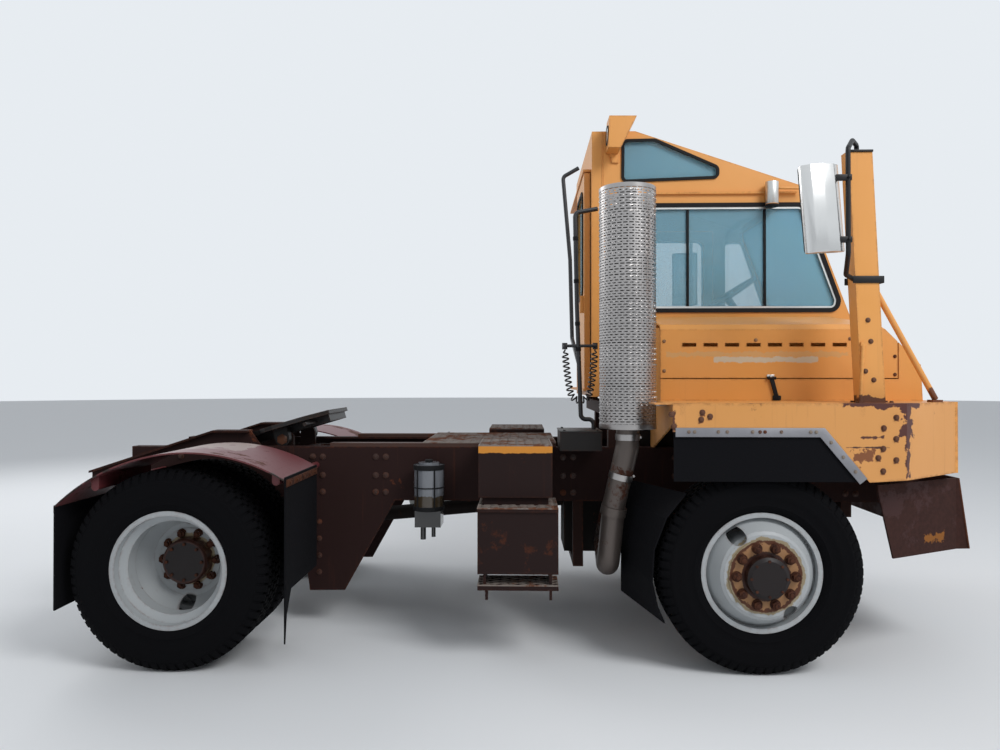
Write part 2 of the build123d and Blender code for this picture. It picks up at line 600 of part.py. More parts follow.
# Walkway plates on top of the frame
def make_deck_plates():
    middle = box(-500, 300, -RAIL_Y, RAIL_Y, RAIL_TOP, RAIL_TOP + 22)
    strips = [box(-1055, -500, sign * RAIL_Y - 40 - sign * 40, sign * RAIL_Y + 40 - sign * 40,
                  RAIL_TOP, RAIL_TOP + 22) for sign in (-1, 1)]
    return middle + strips[0] + strips[1]


# Dark box behind the cab that carries the air line fittings
def make_platform_box():
    return box(310, 545, -680, -RAIL_Y + 60, RAIL_TOP, PLATFORM_TOP)


# Perforated guard around the stack, with end collars and its seat lug on the deck
def make_stack_guard():
    x, y = STACK
    guard = rod((x, y, STACK_BOTTOM), (x, y, STACK_TOP), STACK_RADIUS)
    guard -= rod((x, y, STACK_BOTTOM - 1), (x, y, STACK_TOP + 1), STACK_RADIUS - 4)
    collar = rod((x, y, STACK_TOP - 16), (x, y, STACK_TOP), STACK_RADIUS + 2)
    floor = rod((x, y, STACK_BOTTOM), (x, y, STACK_BOTTOM + 8), STACK_RADIUS)
    collar -= rod((x, y, STACK_TOP - 30), (x, y, STACK_TOP + 1), STACK_RADIUS - 4)
    floor -= rod((x, y, STACK_BOTTOM - 1), (x, y, STACK_BOTTOM + 20), PIPE_RADIUS + 0.3)
    lug = box(x + STACK_RADIUS - 10, x + STACK_RADIUS + 50, y - 30, y + 30, 1331, DECK_TOP - DECK_SHEET)
    return guard + collar + floor + lug


# Silencer inside the guard and the pipe that rises to it
def make_exhaust_pipe():
    x, y = STACK
    silencer = rod((x, y, 1330), (x, y, 2380), 118)
    silencer += rod((x, y, 2380), (x, y, STACK_TOP - 5), 55)
    pipe = tube([(x, y, 1331), (x, y, 1120), (590, -850, 800), (560, -820, 460), (600, -265, 480),
                 (640, -265, 680), (775 - SEAT_GAP, -265, 680)], PIPE_RADIUS, 70)
    clamp = rod((592, -851, 790), (583, -846, 745), PIPE_RADIUS + 8)
    return silencer + pipe + clamp


# Post for the right mirror with its two stays
def make_mirror_post():
    foot_x, top_x = (1803, 1921), (1741, 1859)
    post = side_plate([(foot_x[0], DECK_TOP), (foot_x[1], DECK_TOP), (top_x[1], 2628), (top_x[0], 2628)],
                      -1095, -1005)
    post += rod((1880, -1040, 1959), (2236, -965, DECK_TOP + 16), 15)
    post += box(2210, 2262, -990, -935, DECK_TOP, DECK_TOP + 12)
    post += rod((1806, -1102, 1650), (1790, -1108, DECK_TOP + 5), 8)
    post += box(1778, 1802, -1120, -1094, DECK_TOP, DECK_TOP + 8)
    post += box(1795, 1815, -1108, -1090, 1640, 1660)
    return post


# Mirror head on its tube bracket, right side
def mirror_head(x, z, lean=0):
    centre_y = -(HALF_WIDTH_MIRRORS - MIRROR_REACH)
    head = Box(*MIRROR_HEAD)
    head = fillet(head.edges().filter_by(Axis.Z), MIRROR_CORNER)
    return Pos(x, centre_y, z) * Rot(0, -lean, 0) * Rot(0, 0, MIRROR_TURN) * head


def make_mirror_right():
    x, z = 1548, 2298
    head = mirror_head(x, z, MIRROR_LEAN)
    y = -(HALF_WIDTH_MIRRORS - MIRROR_REACH)
    tube_x = x + MIRROR_HEAD[0] / 2 + 22
    arm = tube([(1800, -1050, 2620), (1800, -1050, 2665), (1735, -1150, 2660), (tube_x, y, 2590), (tube_x, y, 2080),
                (1710, -1130, 1995), (1790, -1060, 1975)], 12, 28)
    clamps = [box(x + 60, tube_x + 4, y - 14, y + 10, z + dz - 16, z + dz + 16) for dz in (-150, 150)]
    foot = box(1760, 1905, -1101, -999, 1955, 1995)
    for piece in (arm, *clamps, foot):
        head += piece
    return head - make_mirror_post()


# Hood base: inner wall, rear wall, lower side panel and nose
def make_hood_base():
    inner, outer, sheet = HOOD_INNER_Y, HOOD_OUTER_Y, HOOD_SHEET
    nose = [(HOOD_BREAK_X, DECK_TOP), (HOOD_BREAK_X, 1677), (2291, 1553), (CAB_FRONT_X, 1359), (CAB_FRONT_X, DECK_TOP)]
    wall = side_plate([(HOOD_REAR_X, DECK_TOP), (HOOD_REAR_X, HOOD_TOP_INNER - 60), (1985, HOOD_TOP_INNER - 60),
                       (2291, 1553), (CAB_FRONT_X, 1540), (CAB_FRONT_X, DECK_TOP)], inner - sheet, inner)
    rear = cross_plate([(inner, DECK_TOP), (outer, DECK_TOP), (outer, HOOD_SEAM_Z - 6),
                        (outer + 14, HOOD_SEAM_Z - 6), (outer + 14, 1738), (outer + 36, 1762),
                        (inner, HOOD_TOP_INNER - 60)], HOOD_REAR_X, HOOD_REAR_X + sheet)
    side = box(HOOD_REAR_X, HOOD_BREAK_X, outer, outer + sheet, DECK_TOP, HOOD_SEAM_Z - 6)
    nose_block = side_plate(nose, outer, inner)
    nose_room = side_plate([(HOOD_BREAK_X - 1, DECK_TOP - 1), (HOOD_BREAK_X - 1, 1655), (2276, 1545),
                            (CAB_FRONT_X - sheet, 1359), (CAB_FRONT_X - sheet, DECK_TOP - 1)],
                           outer + sheet, inner - sheet)
    base = wall + rear + side + (nose_block - nose_room)
    # Three hinge lugs for the lid
    for x in HOOD_HINGE_X:
        base += rod((x - 60, HOOD_HINGE[0], HOOD_HINGE[1]), (x - 21, HOOD_HINGE[0], HOOD_HINGE[1]), 9)
        base += rod((x + 21, HOOD_HINGE[0], HOOD_HINGE[1]), (x + 60, HOOD_HINGE[0], HOOD_HINGE[1]), 9)
        base += rod((x - 60, HOOD_HINGE[0], HOOD_HINGE[1]), (x + 60, HOOD_HINGE[0], HOOD_HINGE[1]), 4)
        for x0, x1 in ((x - 60, x - 21), (x + 21, x + 60)):
            base += box(x0, x1, HOOD_HINGE[0] - 5, inner, HOOD_TOP_INNER - 61, HOOD_HINGE[1])
    return base


# Lid of the hood: top sheet, side sheet with louvre slots and the hinge barrels
def make_hood_lid():
    sheet = 8
    inner, outer = HOOD_HINGE[0] - 14, HOOD_OUTER_Y
    profile = [(inner, HOOD_TOP_INNER + 2), (outer + 30, HOOD_TOP_OUTER), (outer, HOOD_TOP_OUTER - 30),
               (outer, HOOD_SEAM_Z), (outer + sheet, HOOD_SEAM_Z), (outer + sheet, HOOD_TOP_OUTER - 33),
               (outer + 33, HOOD_TOP_OUTER - sheet), (inner, HOOD_TOP_INNER + 2 - sheet)]
    lid = cross_plate(profile, HOOD_REAR_X, HOOD_BREAK_X - RUN_GAP)
    lid -= side_plate([(1968, 1881), (2068, 1780), (2200, 1648), (2300, 1900)], -800, -150)
    # Sloping front of the lid
    front = side_plate([(1984, 1864), (HOOD_BREAK_X - RUN_GAP, 1683), (HOOD_BREAK_X - RUN_GAP, 1672), (1976, 1861)],
                       outer + 1, inner)
    front &= cross_plate([(inner, HOOD_TOP_INNER + 2), (outer + 30, HOOD_TOP_OUTER), (outer, HOOD_TOP_OUTER - 30),
                          (outer, HOOD_SEAM_Z), (inner, HOOD_SEAM_Z)], 1900, 2200)
    lid += front
    # Louvre slots in the side sheet, in groups
    for index in range(SLOT_COUNT):
        x = 985 + index * 118
        lid -= box(x, x + 78, outer - 1, outer + sheet + 1, 1655, 1675)
    for x in HOOD_HINGE_X:
        lid += rod((x - 20, HOOD_HINGE[0], HOOD_HINGE[1]), (x + 20, HOOD_HINGE[0], HOOD_HINGE[1]), 9)
        lid += box(x - 20, x + 20, inner - 20, HOOD_HINGE[0], HOOD_HINGE[1] - 2, HOOD_HINGE[1] + 6)
        lid -= rod((x - 21, HOOD_HINGE[0], HOOD_HINGE[1]), (x + 21, HOOD_HINGE[0], HOOD_HINGE[1]), 4 + FIT)
    return lid


# Cab side outline in (x, z)
def cab_outline():
    return [(CAB_REAR_X, CAB_FLOOR_Z), (CAB_REAR_X, CAB_ROOF_Z), (ROOF_BREAK_X, CAB_ROOF_Z), WINDSHIELD_TOP,
            WINDSHIELD_FOOT, NOSE_TOP, (CAB_FRONT_X, CAB_FLOOR_Z)]


def cab_panels():
    """Cab shell cut into floor, rear wall, roof, front and two side walls."""
    right, left, wall = CAB_RIGHT_Y, CAB_LEFT_Y, CAB_WALL
    full = side_plate(cab_outline(), right + wall, left - wall)
    room = side_plate(cab_outline(), right + wall - 1, left - wall + 1, reach=-wall)
    ring = full - room
    rear_cut = box(0, CAB_REAR_X + wall, -FAR, FAR, 0, FAR)
    floor_cut = box(CAB_REAR_X + wall, FAR, -FAR, FAR, 0, CAB_FLOOR_Z + wall)
    roof_cut = box(CAB_REAR_X + wall, WINDSHIELD_TOP[0] - 30, -FAR, FAR, CAB_FLOOR_Z + wall, FAR)
    front_cut = box(WINDSHIELD_TOP[0] - 30, FAR, -FAR, FAR, CAB_FLOOR_Z + wall, FAR)
    rear, floor = ring & rear_cut, ring & floor_cut
    roof, front = ring & roof_cut, ring & front_cut
    side = side_plate(cab_outline(), right, right + wall)
    far_side = side_plate(cab_outline(), left - wall, left)
    return rear, floor, roof, front, side, far_side


def windshield_plane(depth):
    """Plane in the windshield's slope, a depth below its outer face, local x along +Y."""
    rise = Vector(WINDSHIELD_TOP[0] - WINDSHIELD_FOOT[0], 0, WINDSHIELD_TOP[1] - WINDSHIELD_FOOT[1])
    outward = Vector(rise.Z, 0, -rise.X).normalized()
    foot = Vector(WINDSHIELD_FOOT[0], 0, WINDSHIELD_FOOT[1]) - outward * depth
    return Plane(origin=foot, x_dir=(0, 1, 0), z_dir=outward), rise.length


def windshield_pane(depth, thickness, inset):
    """Block with the windshield's outline, from a depth outwards."""
    plane, height = windshield_plane(depth)
    margin = WINDSHIELD_MARGIN + inset
    y0, y1 = CAB_RIGHT_Y + margin, CAB_LEFT_Y - margin
    pane = outline([(y0, margin), (y0, height - margin), (y1, height - margin), (y1, margin)], 70 - inset)
    return extrude(plane * pane, amount=thickness, dir=plane.z_dir)


def make_cab():
    rear, floor, roof, front, side, far_side = cab_panels()
    wall, middle = CAB_WALL, CAB_WALL / 2
    right, left = CAB_RIGHT_Y, CAB_LEFT_Y
    side -= side_plate(SIDE_WINDOW, right - 1, right + wall + 1, 45)
    side -= side_plate(QUARTER_WINDOW, right - 1, right + wall + 1, 30)
    far_side -= box(DOOR[0] - RUN_GAP, DOOR[1] + RUN_GAP, left - wall - 1, left + 1, DOOR[2] - RUN_GAP,
                    DOOR[3] + RUN_GAP)
    far_side -= side_plate(LEFT_VENT, left - wall - 1, left + 1, 40)
    front -= windshield_pane(wall + 5, wall + 10, 0)
    y0, y1, z0, z1 = REAR_DOOR
    rear -= box(CAB_REAR_X - 1, CAB_REAR_X + wall + 1, y0 + 50, y1 - 50, CAB_FLOOR_Z + wall, z1 - 50)
    rear -= cross_plate(REAR_WINDOW, CAB_REAR_X - 1, CAB_REAR_X + wall + 1, 80)
    # Rails that carry the sliding rear door
    rail_y1 = CAB_LEFT_Y - 10
    rear += box(CAB_REAR_X - 50, CAB_REAR_X, y0 - 10, rail_y1, z0 - 16, z0 - SEAT_GAP)
    rear += box(CAB_REAR_X - 50, CAB_REAR_X, y0 - 10, rail_y1, z1 + RUN_GAP, z1 + 20)
    # Door hinge lugs on the left pillar
    for z in DOOR_HINGE_Z:
        for low, high in ((z - 50, z - 21), (z + 21, z + 50)):
            far_side += rod((*DOOR_HINGE, low), (*DOOR_HINGE, high), 10)
            far_side += box(DOOR_HINGE[0], DOOR_HINGE[0] + 40, left - 1, DOOR_HINGE[1], low, high)
        far_side += rod((*DOOR_HINGE, z - 50), (*DOOR_HINGE, z + 50), 5)
    # Cab hinge barrels at the front of the floor
    hinge_x, hinge_z = CAB_HINGE
    for y in CAB_HINGE_Y:
        floor += rod((hinge_x, y - 20, hinge_z), (hinge_x, y + 20, hinge_z), 16)
        floor += box(CAB_FRONT_X - 3, hinge_x, y - 20, y + 20, hinge_z - 10, hinge_z + 12)
        floor -= rod((hinge_x, y - 21, hinge_z), (hinge_x, y + 21, hinge_z), 8 + FIT)
    panes = group(
        side_plate(SIDE_WINDOW, right + middle - 3, right + middle + 3, 45, -SEAT_GAP),
        side_plate(QUARTER_WINDOW, right + middle - 3, right + middle + 3, 30, -SEAT_GAP),
        side_plate(LEFT_VENT, left - middle - 3, left - middle + 3, 40, -SEAT_GAP),
        cross_plate(REAR_WINDOW, CAB_REAR_X + middle - 3, CAB_REAR_X + middle + 3, 80, -SEAT_GAP),
        windshield_pane(middle + 3, GLASS, SEAT_GAP))
    save("cab_rear_wall", rear)
    save("cab_floor", floor)
    save("cab_roof", roof)
    save("cab_front", front)
    save("cab_right_wall", side)
    save("cab_left_wall", far_side)
    save("cab_glass", panes)


# Left door with its window, hinge barrels and the mirror that it carries
def make_left_door():
    x0, x1, z0, z1 = DOOR
    left, wall, middle = CAB_LEFT_Y, CAB_WALL, CAB_WALL / 2
    door = box(x0, x1, left - wall, left, z0, z1)
    door -= side_plate(DOOR_WINDOW, left - wall - 1, left + 1, 60)
    for z in DOOR_HINGE_Z:
        door += rod((*DOOR_HINGE, z - 20), (*DOOR_HINGE, z + 20), 10)
        door += box(DOOR_HINGE[0] - 60, DOOR_HINGE[0], left - 1, DOOR_HINGE[1] - 2, z - 20, z + 20)
        door -= rod((*DOOR_HINGE, z - 21), (*DOOR_HINGE, z + 21), 5 + FIT)
    door += box(x0 + 40, x0 + 130, left, left + 30, 1830, 1860)
    save("left_door", door)
    save("left_door_glass", side_plate(DOOR_WINDOW, left - middle - 3, left - middle + 3, 60, -SEAT_GAP))
    y = HALF_WIDTH_MIRRORS - MIRROR_REACH
    head = mirrored(mirror_head(1425, 2290))
    bar = tube([(1470, left, 2610), (1470, y - 30, 2610), (1470, y - 30, 1800), (1470, left, 1800)], 14, 40)
    clamp = box(1440, 1480, y - 44, y, 2270, 2310)
    save("mirror_left", head + bar + clamp)


# Sliding rear door with its window
def make_rear_door():
    y0, y1, z0, z1 = REAR_DOOR
    x0, x1 = CAB_REAR_X - 42, CAB_REAR_X - RUN_GAP
    door = box(x0, x1, y0, y1, z0, z1)
    door -= cross_plate(REAR_DOOR_WINDOW, x0 - 1, x1 + 1, 80)
    door += box(x0 - 25, x0, y0 + 25, y0 + 45, 1900, 2010)
    save("rear_door", door)
    middle = (x0 + x1) / 2
    save("rear_door_glass", cross_plate(REAR_DOOR_WINDOW, middle - 3, middle + 3, 80, -SEAT_GAP))


# Lamps on the cab: work lamp at the rear corner and the small lamp above the side window
def make_cab_lamps():
    right = CAB_RIGHT_Y
    work = side_plate([(627, 3076), (793, 3074), (695, 2883), (621, 2884)], right - 150, right - 4)
    bracket = side_plate([(640, 2890), (700, 2890), (700, 2828), (660, 2828)], right - 12, right)
    canister = rod((1636, right - 50, 2538), (1636, right - 50, 2691), 38)
    seat = box(1620, 1652, right - 50, right, 2600, 2640)
    bar = rod((1636, right - 50, 2654), (1830, right - 50, 2650), 8)
    return group(work + bracket, canister + seat + bar)


# Instrument console with the steering column
def make_dashboard():
    front = 2060
    console = side_plate([(1800, CAB_FLOOR_Z + CAB_WALL), (1800, 1700), (1740, 1760), (1790, 1850), (2060, 1850),
                          (2180, 1640), (2180, CAB_FLOOR_Z + CAB_WALL)], CAB_RIGHT_Y + 60, CAB_LEFT_Y - 60)
    column = rod(point_on_column(-370), point_on_column(-20 - SEAT_GAP), 26)
    return console + column


def point_on_column(distance):
    """Point on the steering wheel's axis, measured up from its middle."""
    x, y, z = STEER_CENTRE
    return (x - distance * sin(radians(STEER_TILT)), y, z + distance * cos(radians(STEER_TILT)))


def make_steering_wheel():
    plane = Plane(origin=STEER_CENTRE, x_dir=(0, 1, 0),
                  z_dir=(-sin(radians(STEER_TILT)), 0, cos(radians(STEER_TILT))))
    wheel = Torus(STEER_RADIUS, 15)
    hub = Cylinder(38, 40)
    for angle in (90, 210, 330):
        hub += Rot(0, 0, angle) * Pos(STEER_RADIUS / 2, 0, 0) * Box(STEER_RADIUS, 22, 10)
    wheel = wheel + hub
    return plane * wheel


# Driver's seat: steel pedestal and soft cushions
def make_seat():
    floor = CAB_FLOOR_Z + CAB_WALL
    pedestal = box(SEAT_X - 190, SEAT_X + 190, SEAT_Y - 180, SEAT_Y + 180, floor, floor + 60)
    pedestal += box(SEAT_X - 120, SEAT_X + 120, SEAT_Y - 120, SEAT_Y + 120, floor + 60, floor + 300)
    pedestal += box(SEAT_X - 210, SEAT_X + 190, SEAT_Y - 190, SEAT_Y + 190, floor + 300, floor + 330)
    save("seat_base", pedestal)
    cushion = box(SEAT_X - 130, SEAT_X + 250, SEAT_Y - 240, SEAT_Y + 240, floor + 330 + SEAT_GAP, floor + 440)
    foot = floor + 330 + SEAT_GAP
    back = side_plate([(SEAT_X - 250, foot), (SEAT_X - 135, foot), (SEAT_X - 190, floor + 960),
                       (SEAT_X - 300, floor + 950)], SEAT_Y - 225, SEAT_Y + 225, 30)
    save("seat_cushions", group(cushion, back))


# Boom that lifts the fifth wheel: two arms, pivot tube, trunnion ears and pins
def make_boom():
    px, pz = BOOM_PIVOT
    tx, tz = TRUNNION
    arm = side_plate([(px + 50, pz - 45), (px + 50, pz + 45), (-1150, 1030), (tx - 70, 1035), (tx - 70, 960),
                      (LIFT_EYE[0] - 30, 895), (px - 30, pz - 45)], ARM_INNER_Y, ARM_OUTER_Y)
    ear = box(tx - 50, tx + 50, ARM_INNER_Y, ARM_OUTER_Y, 1000, tz)
    ear += rod((tx, ARM_INNER_Y, tz), (tx, ARM_OUTER_Y, tz), 50)
    pin = rod((tx, ARM_OUTER_Y - 1, tz), (tx, ARM_OUTER_Y + 62, tz), TRUNNION_PIN)
    lift_pin = rod((LIFT_EYE[0], ARM_INNER_Y + 1, LIFT_EYE[1]), (LIFT_EYE[0], LIFT_Y - 45, LIFT_EYE[1]),
                   LIFT_EYE_PIN)
    half = arm + ear + pin + lift_pin
    boom = half + mirrored(half)
    boom += box(tx + 30, tx + 110, -ARM_INNER_Y - 1, ARM_INNER_Y + 1, 960, 1030)
    tube_end = RAIL_Y - RAIL_FLANGE - SEAT_GAP
    boom += rod((px, -tube_end, pz), (px, tube_end, pz), 45)
    return boom - rod((px, -tube_end - 1, pz), (px, tube_end + 1, pz), BOOM_SHAFT + FIT)


# Fifth wheel plate, built level about its trunnion, then tilted to rest
def make_fifth_wheel():
    top, bottom = PLATE_TOP, PLATE_TOP - PLATE_THICKNESS
    outline_right = [(305, 0), (305, -250), (190, -420), (0, -455), (-50, -440), (-105, -370), (-300, -330),
                     (-420, -230),
                     (-420, -70), (-200, -KINGPIN_SLOT / 2 - 4), (0, -KINGPIN_SLOT / 2 - 4)]
    sheet = flat_plate(outline_right + [(x, -y) for x, y in reversed(outline_right[1:])], bottom, top)
    throat = rod((0, 0, bottom - 1), (0, 0, top + 1), KINGPIN_SLOT / 2 + 4)
    sheet += rod((0, 0, bottom), (0, 0, top), 90) & box(-1, 100, -100, 100, bottom, top)
    sheet -= throat
    plate = sheet
    for sign in (-1, 1):
        lug = rod((0, sign * (ARM_OUTER_Y + SEAT_GAP), 0), (0, sign * (ARM_OUTER_Y + 60), 0), 44)
        y0, y1 = sorted((sign * (ARM_OUTER_Y + SEAT_GAP), sign * (ARM_OUTER_Y + 60)))
        lug += box(-44, 44, y0, y1, 0, bottom + 1)
        plate += lug
        rib0, rib1 = sorted((sign * 195, sign * 215))
        plate += box(-380, 280, rib0, rib1, bottom - 45, bottom + 1)
        plate -= rod((0, sign * ARM_OUTER_Y, 0), (0, sign * (ARM_OUTER_Y + 90), 0), TRUNNION_PIN + FIT)
    plate += box(270, 290, -215, 215, bottom - 45, bottom + 1)
    jaw = box(-60, 60, -130, -34, bottom - 40, bottom + 1) + box(-60, 60, 34, 130, bottom - 40, bottom + 1)
    plate += jaw
    plate += rod((200, -205, bottom - 25), (200, -470, bottom - 25), 11)
    placed = Pos(TRUNNION[0], 0, TRUNNION[1]) * Rot(0, -PLATE_TILT, 0) * plate
    return placed


# Lift cylinders: barrels on the frame's pins, rods that end at the boom's pins
def lift_direction():
    run = (LIFT_EYE[0] - LIFT_BASE[0], LIFT_EYE[1] - LIFT_BASE[1])
    length = hypot(*run)
    return (run[0] / length, run[1] / length), length


def on_lift(distance, y):
    """Point along the cylinder's axis from its base pin."""
    (dx, dz), length = lift_direction()
    return (LIFT_BASE[0] + dx * distance, y, LIFT_BASE[1] + dz * distance)


def make_lift_cylinders():
    length = lift_direction()[1]
    barrel = rod(on_lift(0, LIFT_Y), on_lift(length - 75, LIFT_Y), 50)
    barrel += rod((LIFT_BASE[0], LIFT_Y - 35, LIFT_BASE[1]), (LIFT_BASE[0], LIFT_Y + 35, LIFT_BASE[1]), 48)
    barrel -= rod(on_lift(70, LIFT_Y), on_lift(length, LIFT_Y), LIFT_ROD + FIT)
    barrel -= rod((LIFT_BASE[0], LIFT_Y - 80, LIFT_BASE[1]), (LIFT_BASE[0], LIFT_Y + 80, LIFT_BASE[1]),
                  LIFT_PIN + FIT)
    piston = rod(on_lift(75, LIFT_Y), on_lift(length - 35, LIFT_Y), LIFT_ROD)
    eye = rod((LIFT_EYE[0], LIFT_Y - 30, LIFT_EYE[1]), (LIFT_EYE[0], LIFT_Y + 30, LIFT_EYE[1]), 46)
    piston += eye
    piston -= rod((LIFT_EYE[0], LIFT_Y - 60, LIFT_EYE[1]), (LIFT_EYE[0], LIFT_Y + 60, LIFT_EYE[1]),
                  LIFT_EYE_PIN + LIFT_EYE_PLAY)
    save("lift_barrels", both_sides(barrel))
    save("lift_rods", both_sides(piston))


# Tubes behind the cab that hold the air lines
def make_hand_rails():
    main = tube([(515, -500, PLATFORM_TOP), (515, -500, 1240), (441, -500, 1240), (418, -500, 1900),
                 (407, -500, 2451), (540, -480, 2479)], 13, 30)
    second = tube([(430, -500, 1560), (400, -350, 1720), (388, -350, 2200), (345, -350, 2703), (440, -350, 2757)],
                  12, 30)
    rails = main + second
    (first_x, hang_y, hose_top), last_x = HOSE_ROUTE[0], HOSE_ROUTE[-1][0]
    bar_z = hose_top + 20
    rails += rod((first_x, -500, bar_z), (last_x, -500, bar_z), 9)
    for x in (first_x, last_x):
        rails += rod((x, -500, bar_z), (x, hang_y, bar_z), 9)
        rails += rod((x, hang_y, hose_top + 2), (x, hang_y, hose_top + 40), HOSE_RADIUS - 8)
    return rails


# Coiled air hoses hanging from the tubes
def make_hose():
    points = [Vector(*p) for p in HOSE_ROUTE]
    radii = []
    for before, here, after in zip(points, points[1:], points[2:]):
        first, second = here - before, after - here
        turn = radians(first.get_angle(second))
        radii.append(0.45 * min(first.length, second.length) / tan(turn / 2))
    print("hose radii", [round(r) for r in radii])
    path = FilletPolyline(*HOSE_ROUTE, radius=radii)
    return sweep(Plane(origin=path @ 0, z_dir=path % 0) * Circle(HOSE_RADIUS), path=path)


# Lamps at the front corners and at the rear of the frame
def make_lamps():
    head = rod((RAIL_FRONT_X + APRON_WALL, 680, 1180), (RAIL_FRONT_X + APRON_WALL + 30, 680, 1180), 85)
    tail = rod((RAIL_REAR_X - 25, 300, 930), (RAIL_REAR_X, 300, 930), 55)
    return both_sides(head), both_sides(tail)


os.makedirs("parts", exist_ok=True)

save("frame_rails", make_rails())
save("frame_crossmembers", make_crossmembers())
save("engine", make_engine())
save("driveshaft", make_driveshaft())
save("rear_axle", make_rear_axle())
save("front_axle", make_front_axle())
save("front_fenders", both_sides(make_fender()))
save("front_apron", make_apron())
save("front_bumper", make_bumper())
flaps = make_flaps()
save("rubber_flaps", group(flaps, mirrored(flaps)))
save("rear_fenders", both_sides(make_rear_fender()))
save("step_boxes", make_steps())
save("fuel_tank", make_fuel_tank())
save("grease_pump", make_grease_pump())
save("deck_plates", make_deck_plates())
save("platform_box", make_platform_box())
save("stack_guard", make_stack_guard())
save("exhaust_pipe", make_exhaust_pipe())
save("mirror_post", make_mirror_post())
save("mirror_right", make_mirror_right())
save("hood_base", make_hood_base())
save("hood_lid", make_hood_lid())
save("hand_rails", make_hand_rails())
save("air_hose", make_hose())
head_lamps, tail_lamps = make_lamps()
save("head_lamps", head_lamps)
save("tail_lamps", tail_lamps)

front_place = Pos(FRONT_AXLE_X, FRONT_WHEEL_Y, TYRE_RADIUS)
front_rim = front_place * make_front_rim()
front_tyre = front_place * make_tyre()
rear_place = Pos(REAR_AXLE_X, 0, TYRE_RADIUS)
rear_rims = rear_place * make_rear_rims()
rear_tyres = group(*[rear_place * Pos(0, y, 0) * make_tyre() for y in (REAR_INNER_Y, REAR_OUTER_Y)])
knuckle = make_knuckle()
save("front_rim_left", front_rim)
save("front_rim_right", mirrored(front_rim))
save("front_tyre_left", front_tyre)
save("front_tyre_right", mirrored(front_tyre))
save("rear_rims_left", rear_rims)
save("rear_rims_right", mirrored(rear_rims))
save("rear_tyres_left", rear_tyres)
save("rear_tyres_right", mirrored(rear_tyres))
save("knuckle_left", knuckle)
save("knuckle_right", mirrored(knuckle))
save("tie_rod", make_tie_rod())

make_cab()
make_left_door()
make_rear_door()
save("cab_lamps", make_cab_lamps())
save("dashboard", make_dashboard())
save("steering_wheel", make_steering_wheel())
make_seat()
save("boom", make_boom())
save("fifth_wheel", make_fifth_wheel())
make_lift_cylinders()
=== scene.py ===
import math

import bpy
import bmesh
from mathutils import Matrix, Vector


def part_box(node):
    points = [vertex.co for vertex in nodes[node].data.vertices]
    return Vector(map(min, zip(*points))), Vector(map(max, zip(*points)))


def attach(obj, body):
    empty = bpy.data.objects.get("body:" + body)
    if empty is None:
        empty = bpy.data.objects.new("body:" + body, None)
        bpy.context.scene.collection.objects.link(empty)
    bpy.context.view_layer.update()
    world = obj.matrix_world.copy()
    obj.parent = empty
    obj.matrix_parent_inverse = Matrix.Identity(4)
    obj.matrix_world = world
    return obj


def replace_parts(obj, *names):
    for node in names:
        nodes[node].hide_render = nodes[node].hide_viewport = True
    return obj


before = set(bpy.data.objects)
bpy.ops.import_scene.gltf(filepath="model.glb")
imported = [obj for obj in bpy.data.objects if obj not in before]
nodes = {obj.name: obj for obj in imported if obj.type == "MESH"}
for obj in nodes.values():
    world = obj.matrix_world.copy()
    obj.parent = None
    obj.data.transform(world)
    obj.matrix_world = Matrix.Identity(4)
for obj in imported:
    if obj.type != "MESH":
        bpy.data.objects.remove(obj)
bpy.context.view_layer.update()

# Camera, floor and light
# The camera stands where the photograph was taken from, level with the seat of the cab.
# A wide pale floor, an even sky and two large soft lamps.
scene = bpy.context.scene
scene.view_settings.view_transform = "Standard"


def add_object(name, data):
    """Link a new object to the scene."""
    made = bpy.data.objects.new(name, data)
    scene.collection.objects.link(made)
    return made


def feed(node, feeds):
    """Give each named or numbered input of a node a value, a colour or another node's output."""
    for key, value in feeds.items():
        socket = node.inputs[key]
        if isinstance(value, bpy.types.Node):
            value = value.outputs["Result"] if "Result" in value.outputs else value.outputs[0]
        if isinstance(value, bpy.types.NodeSocket):
            node.id_data.links.new(value, socket)
        elif socket.type == "RGBA":
            socket.default_value = (*value[:3], 1)
        else:
            socket.default_value = value


def add_node(tree, kind, feeds=None, **settings):
    """Add a shader node with its settings and inputs."""
    node = tree.nodes.new("ShaderNode" + kind)
    for name, value in settings.items():
        setattr(node, name, value)
    feed(node, feeds or {})
    return node


def new_finish(name):
    """Empty material, its node tree and its surface node."""
    finish = bpy.data.materials.new(name)
    finish.use_nodes = True
    return finish, finish.node_tree, finish.node_tree.nodes["Principled BSDF"]


camera_data = bpy.data.cameras.new("photo_camera")
camera_data.lens = 27.25
camera_data.sensor_width = 36
camera = add_object("photo_camera", camera_data)
camera.location = (0.087, -4.949, 1.4675)
camera.rotation_euler = (math.radians(90.41), 0, math.radians(1.55))
scene.camera = camera

# The camera, mirrors and glass see a brighter sky than the one that lights the scene
sky = bpy.data.worlds.new("even_sky")
sky.use_nodes = True
scene.world = sky
sky_tree = sky.node_tree
sky_tree.nodes.clear()
seen_sky = add_node(sky_tree, "Background", {"Color": (0.80, 0.84, 0.88), "Strength": 1.0})
sky_light = add_node(sky_tree, "Background", {"Color": (0.93, 0.96, 1.0), "Strength": 0.50})
rays = add_node(sky_tree, "LightPath").outputs
seen = add_node(sky_tree, "Math", {0: rays["Is Camera Ray"], 1: rays["Is Glossy Ray"]}, operation="MAXIMUM")
seen = add_node(sky_tree, "Math", {0: seen, 1: rays["Is Transmission Ray"]}, operation="MAXIMUM")
sky_choice = add_node(sky_tree, "MixShader", {"Fac": seen, 1: sky_light, 2: seen_sky})
add_node(sky_tree, "OutputWorld", {"Surface": sky_choice})

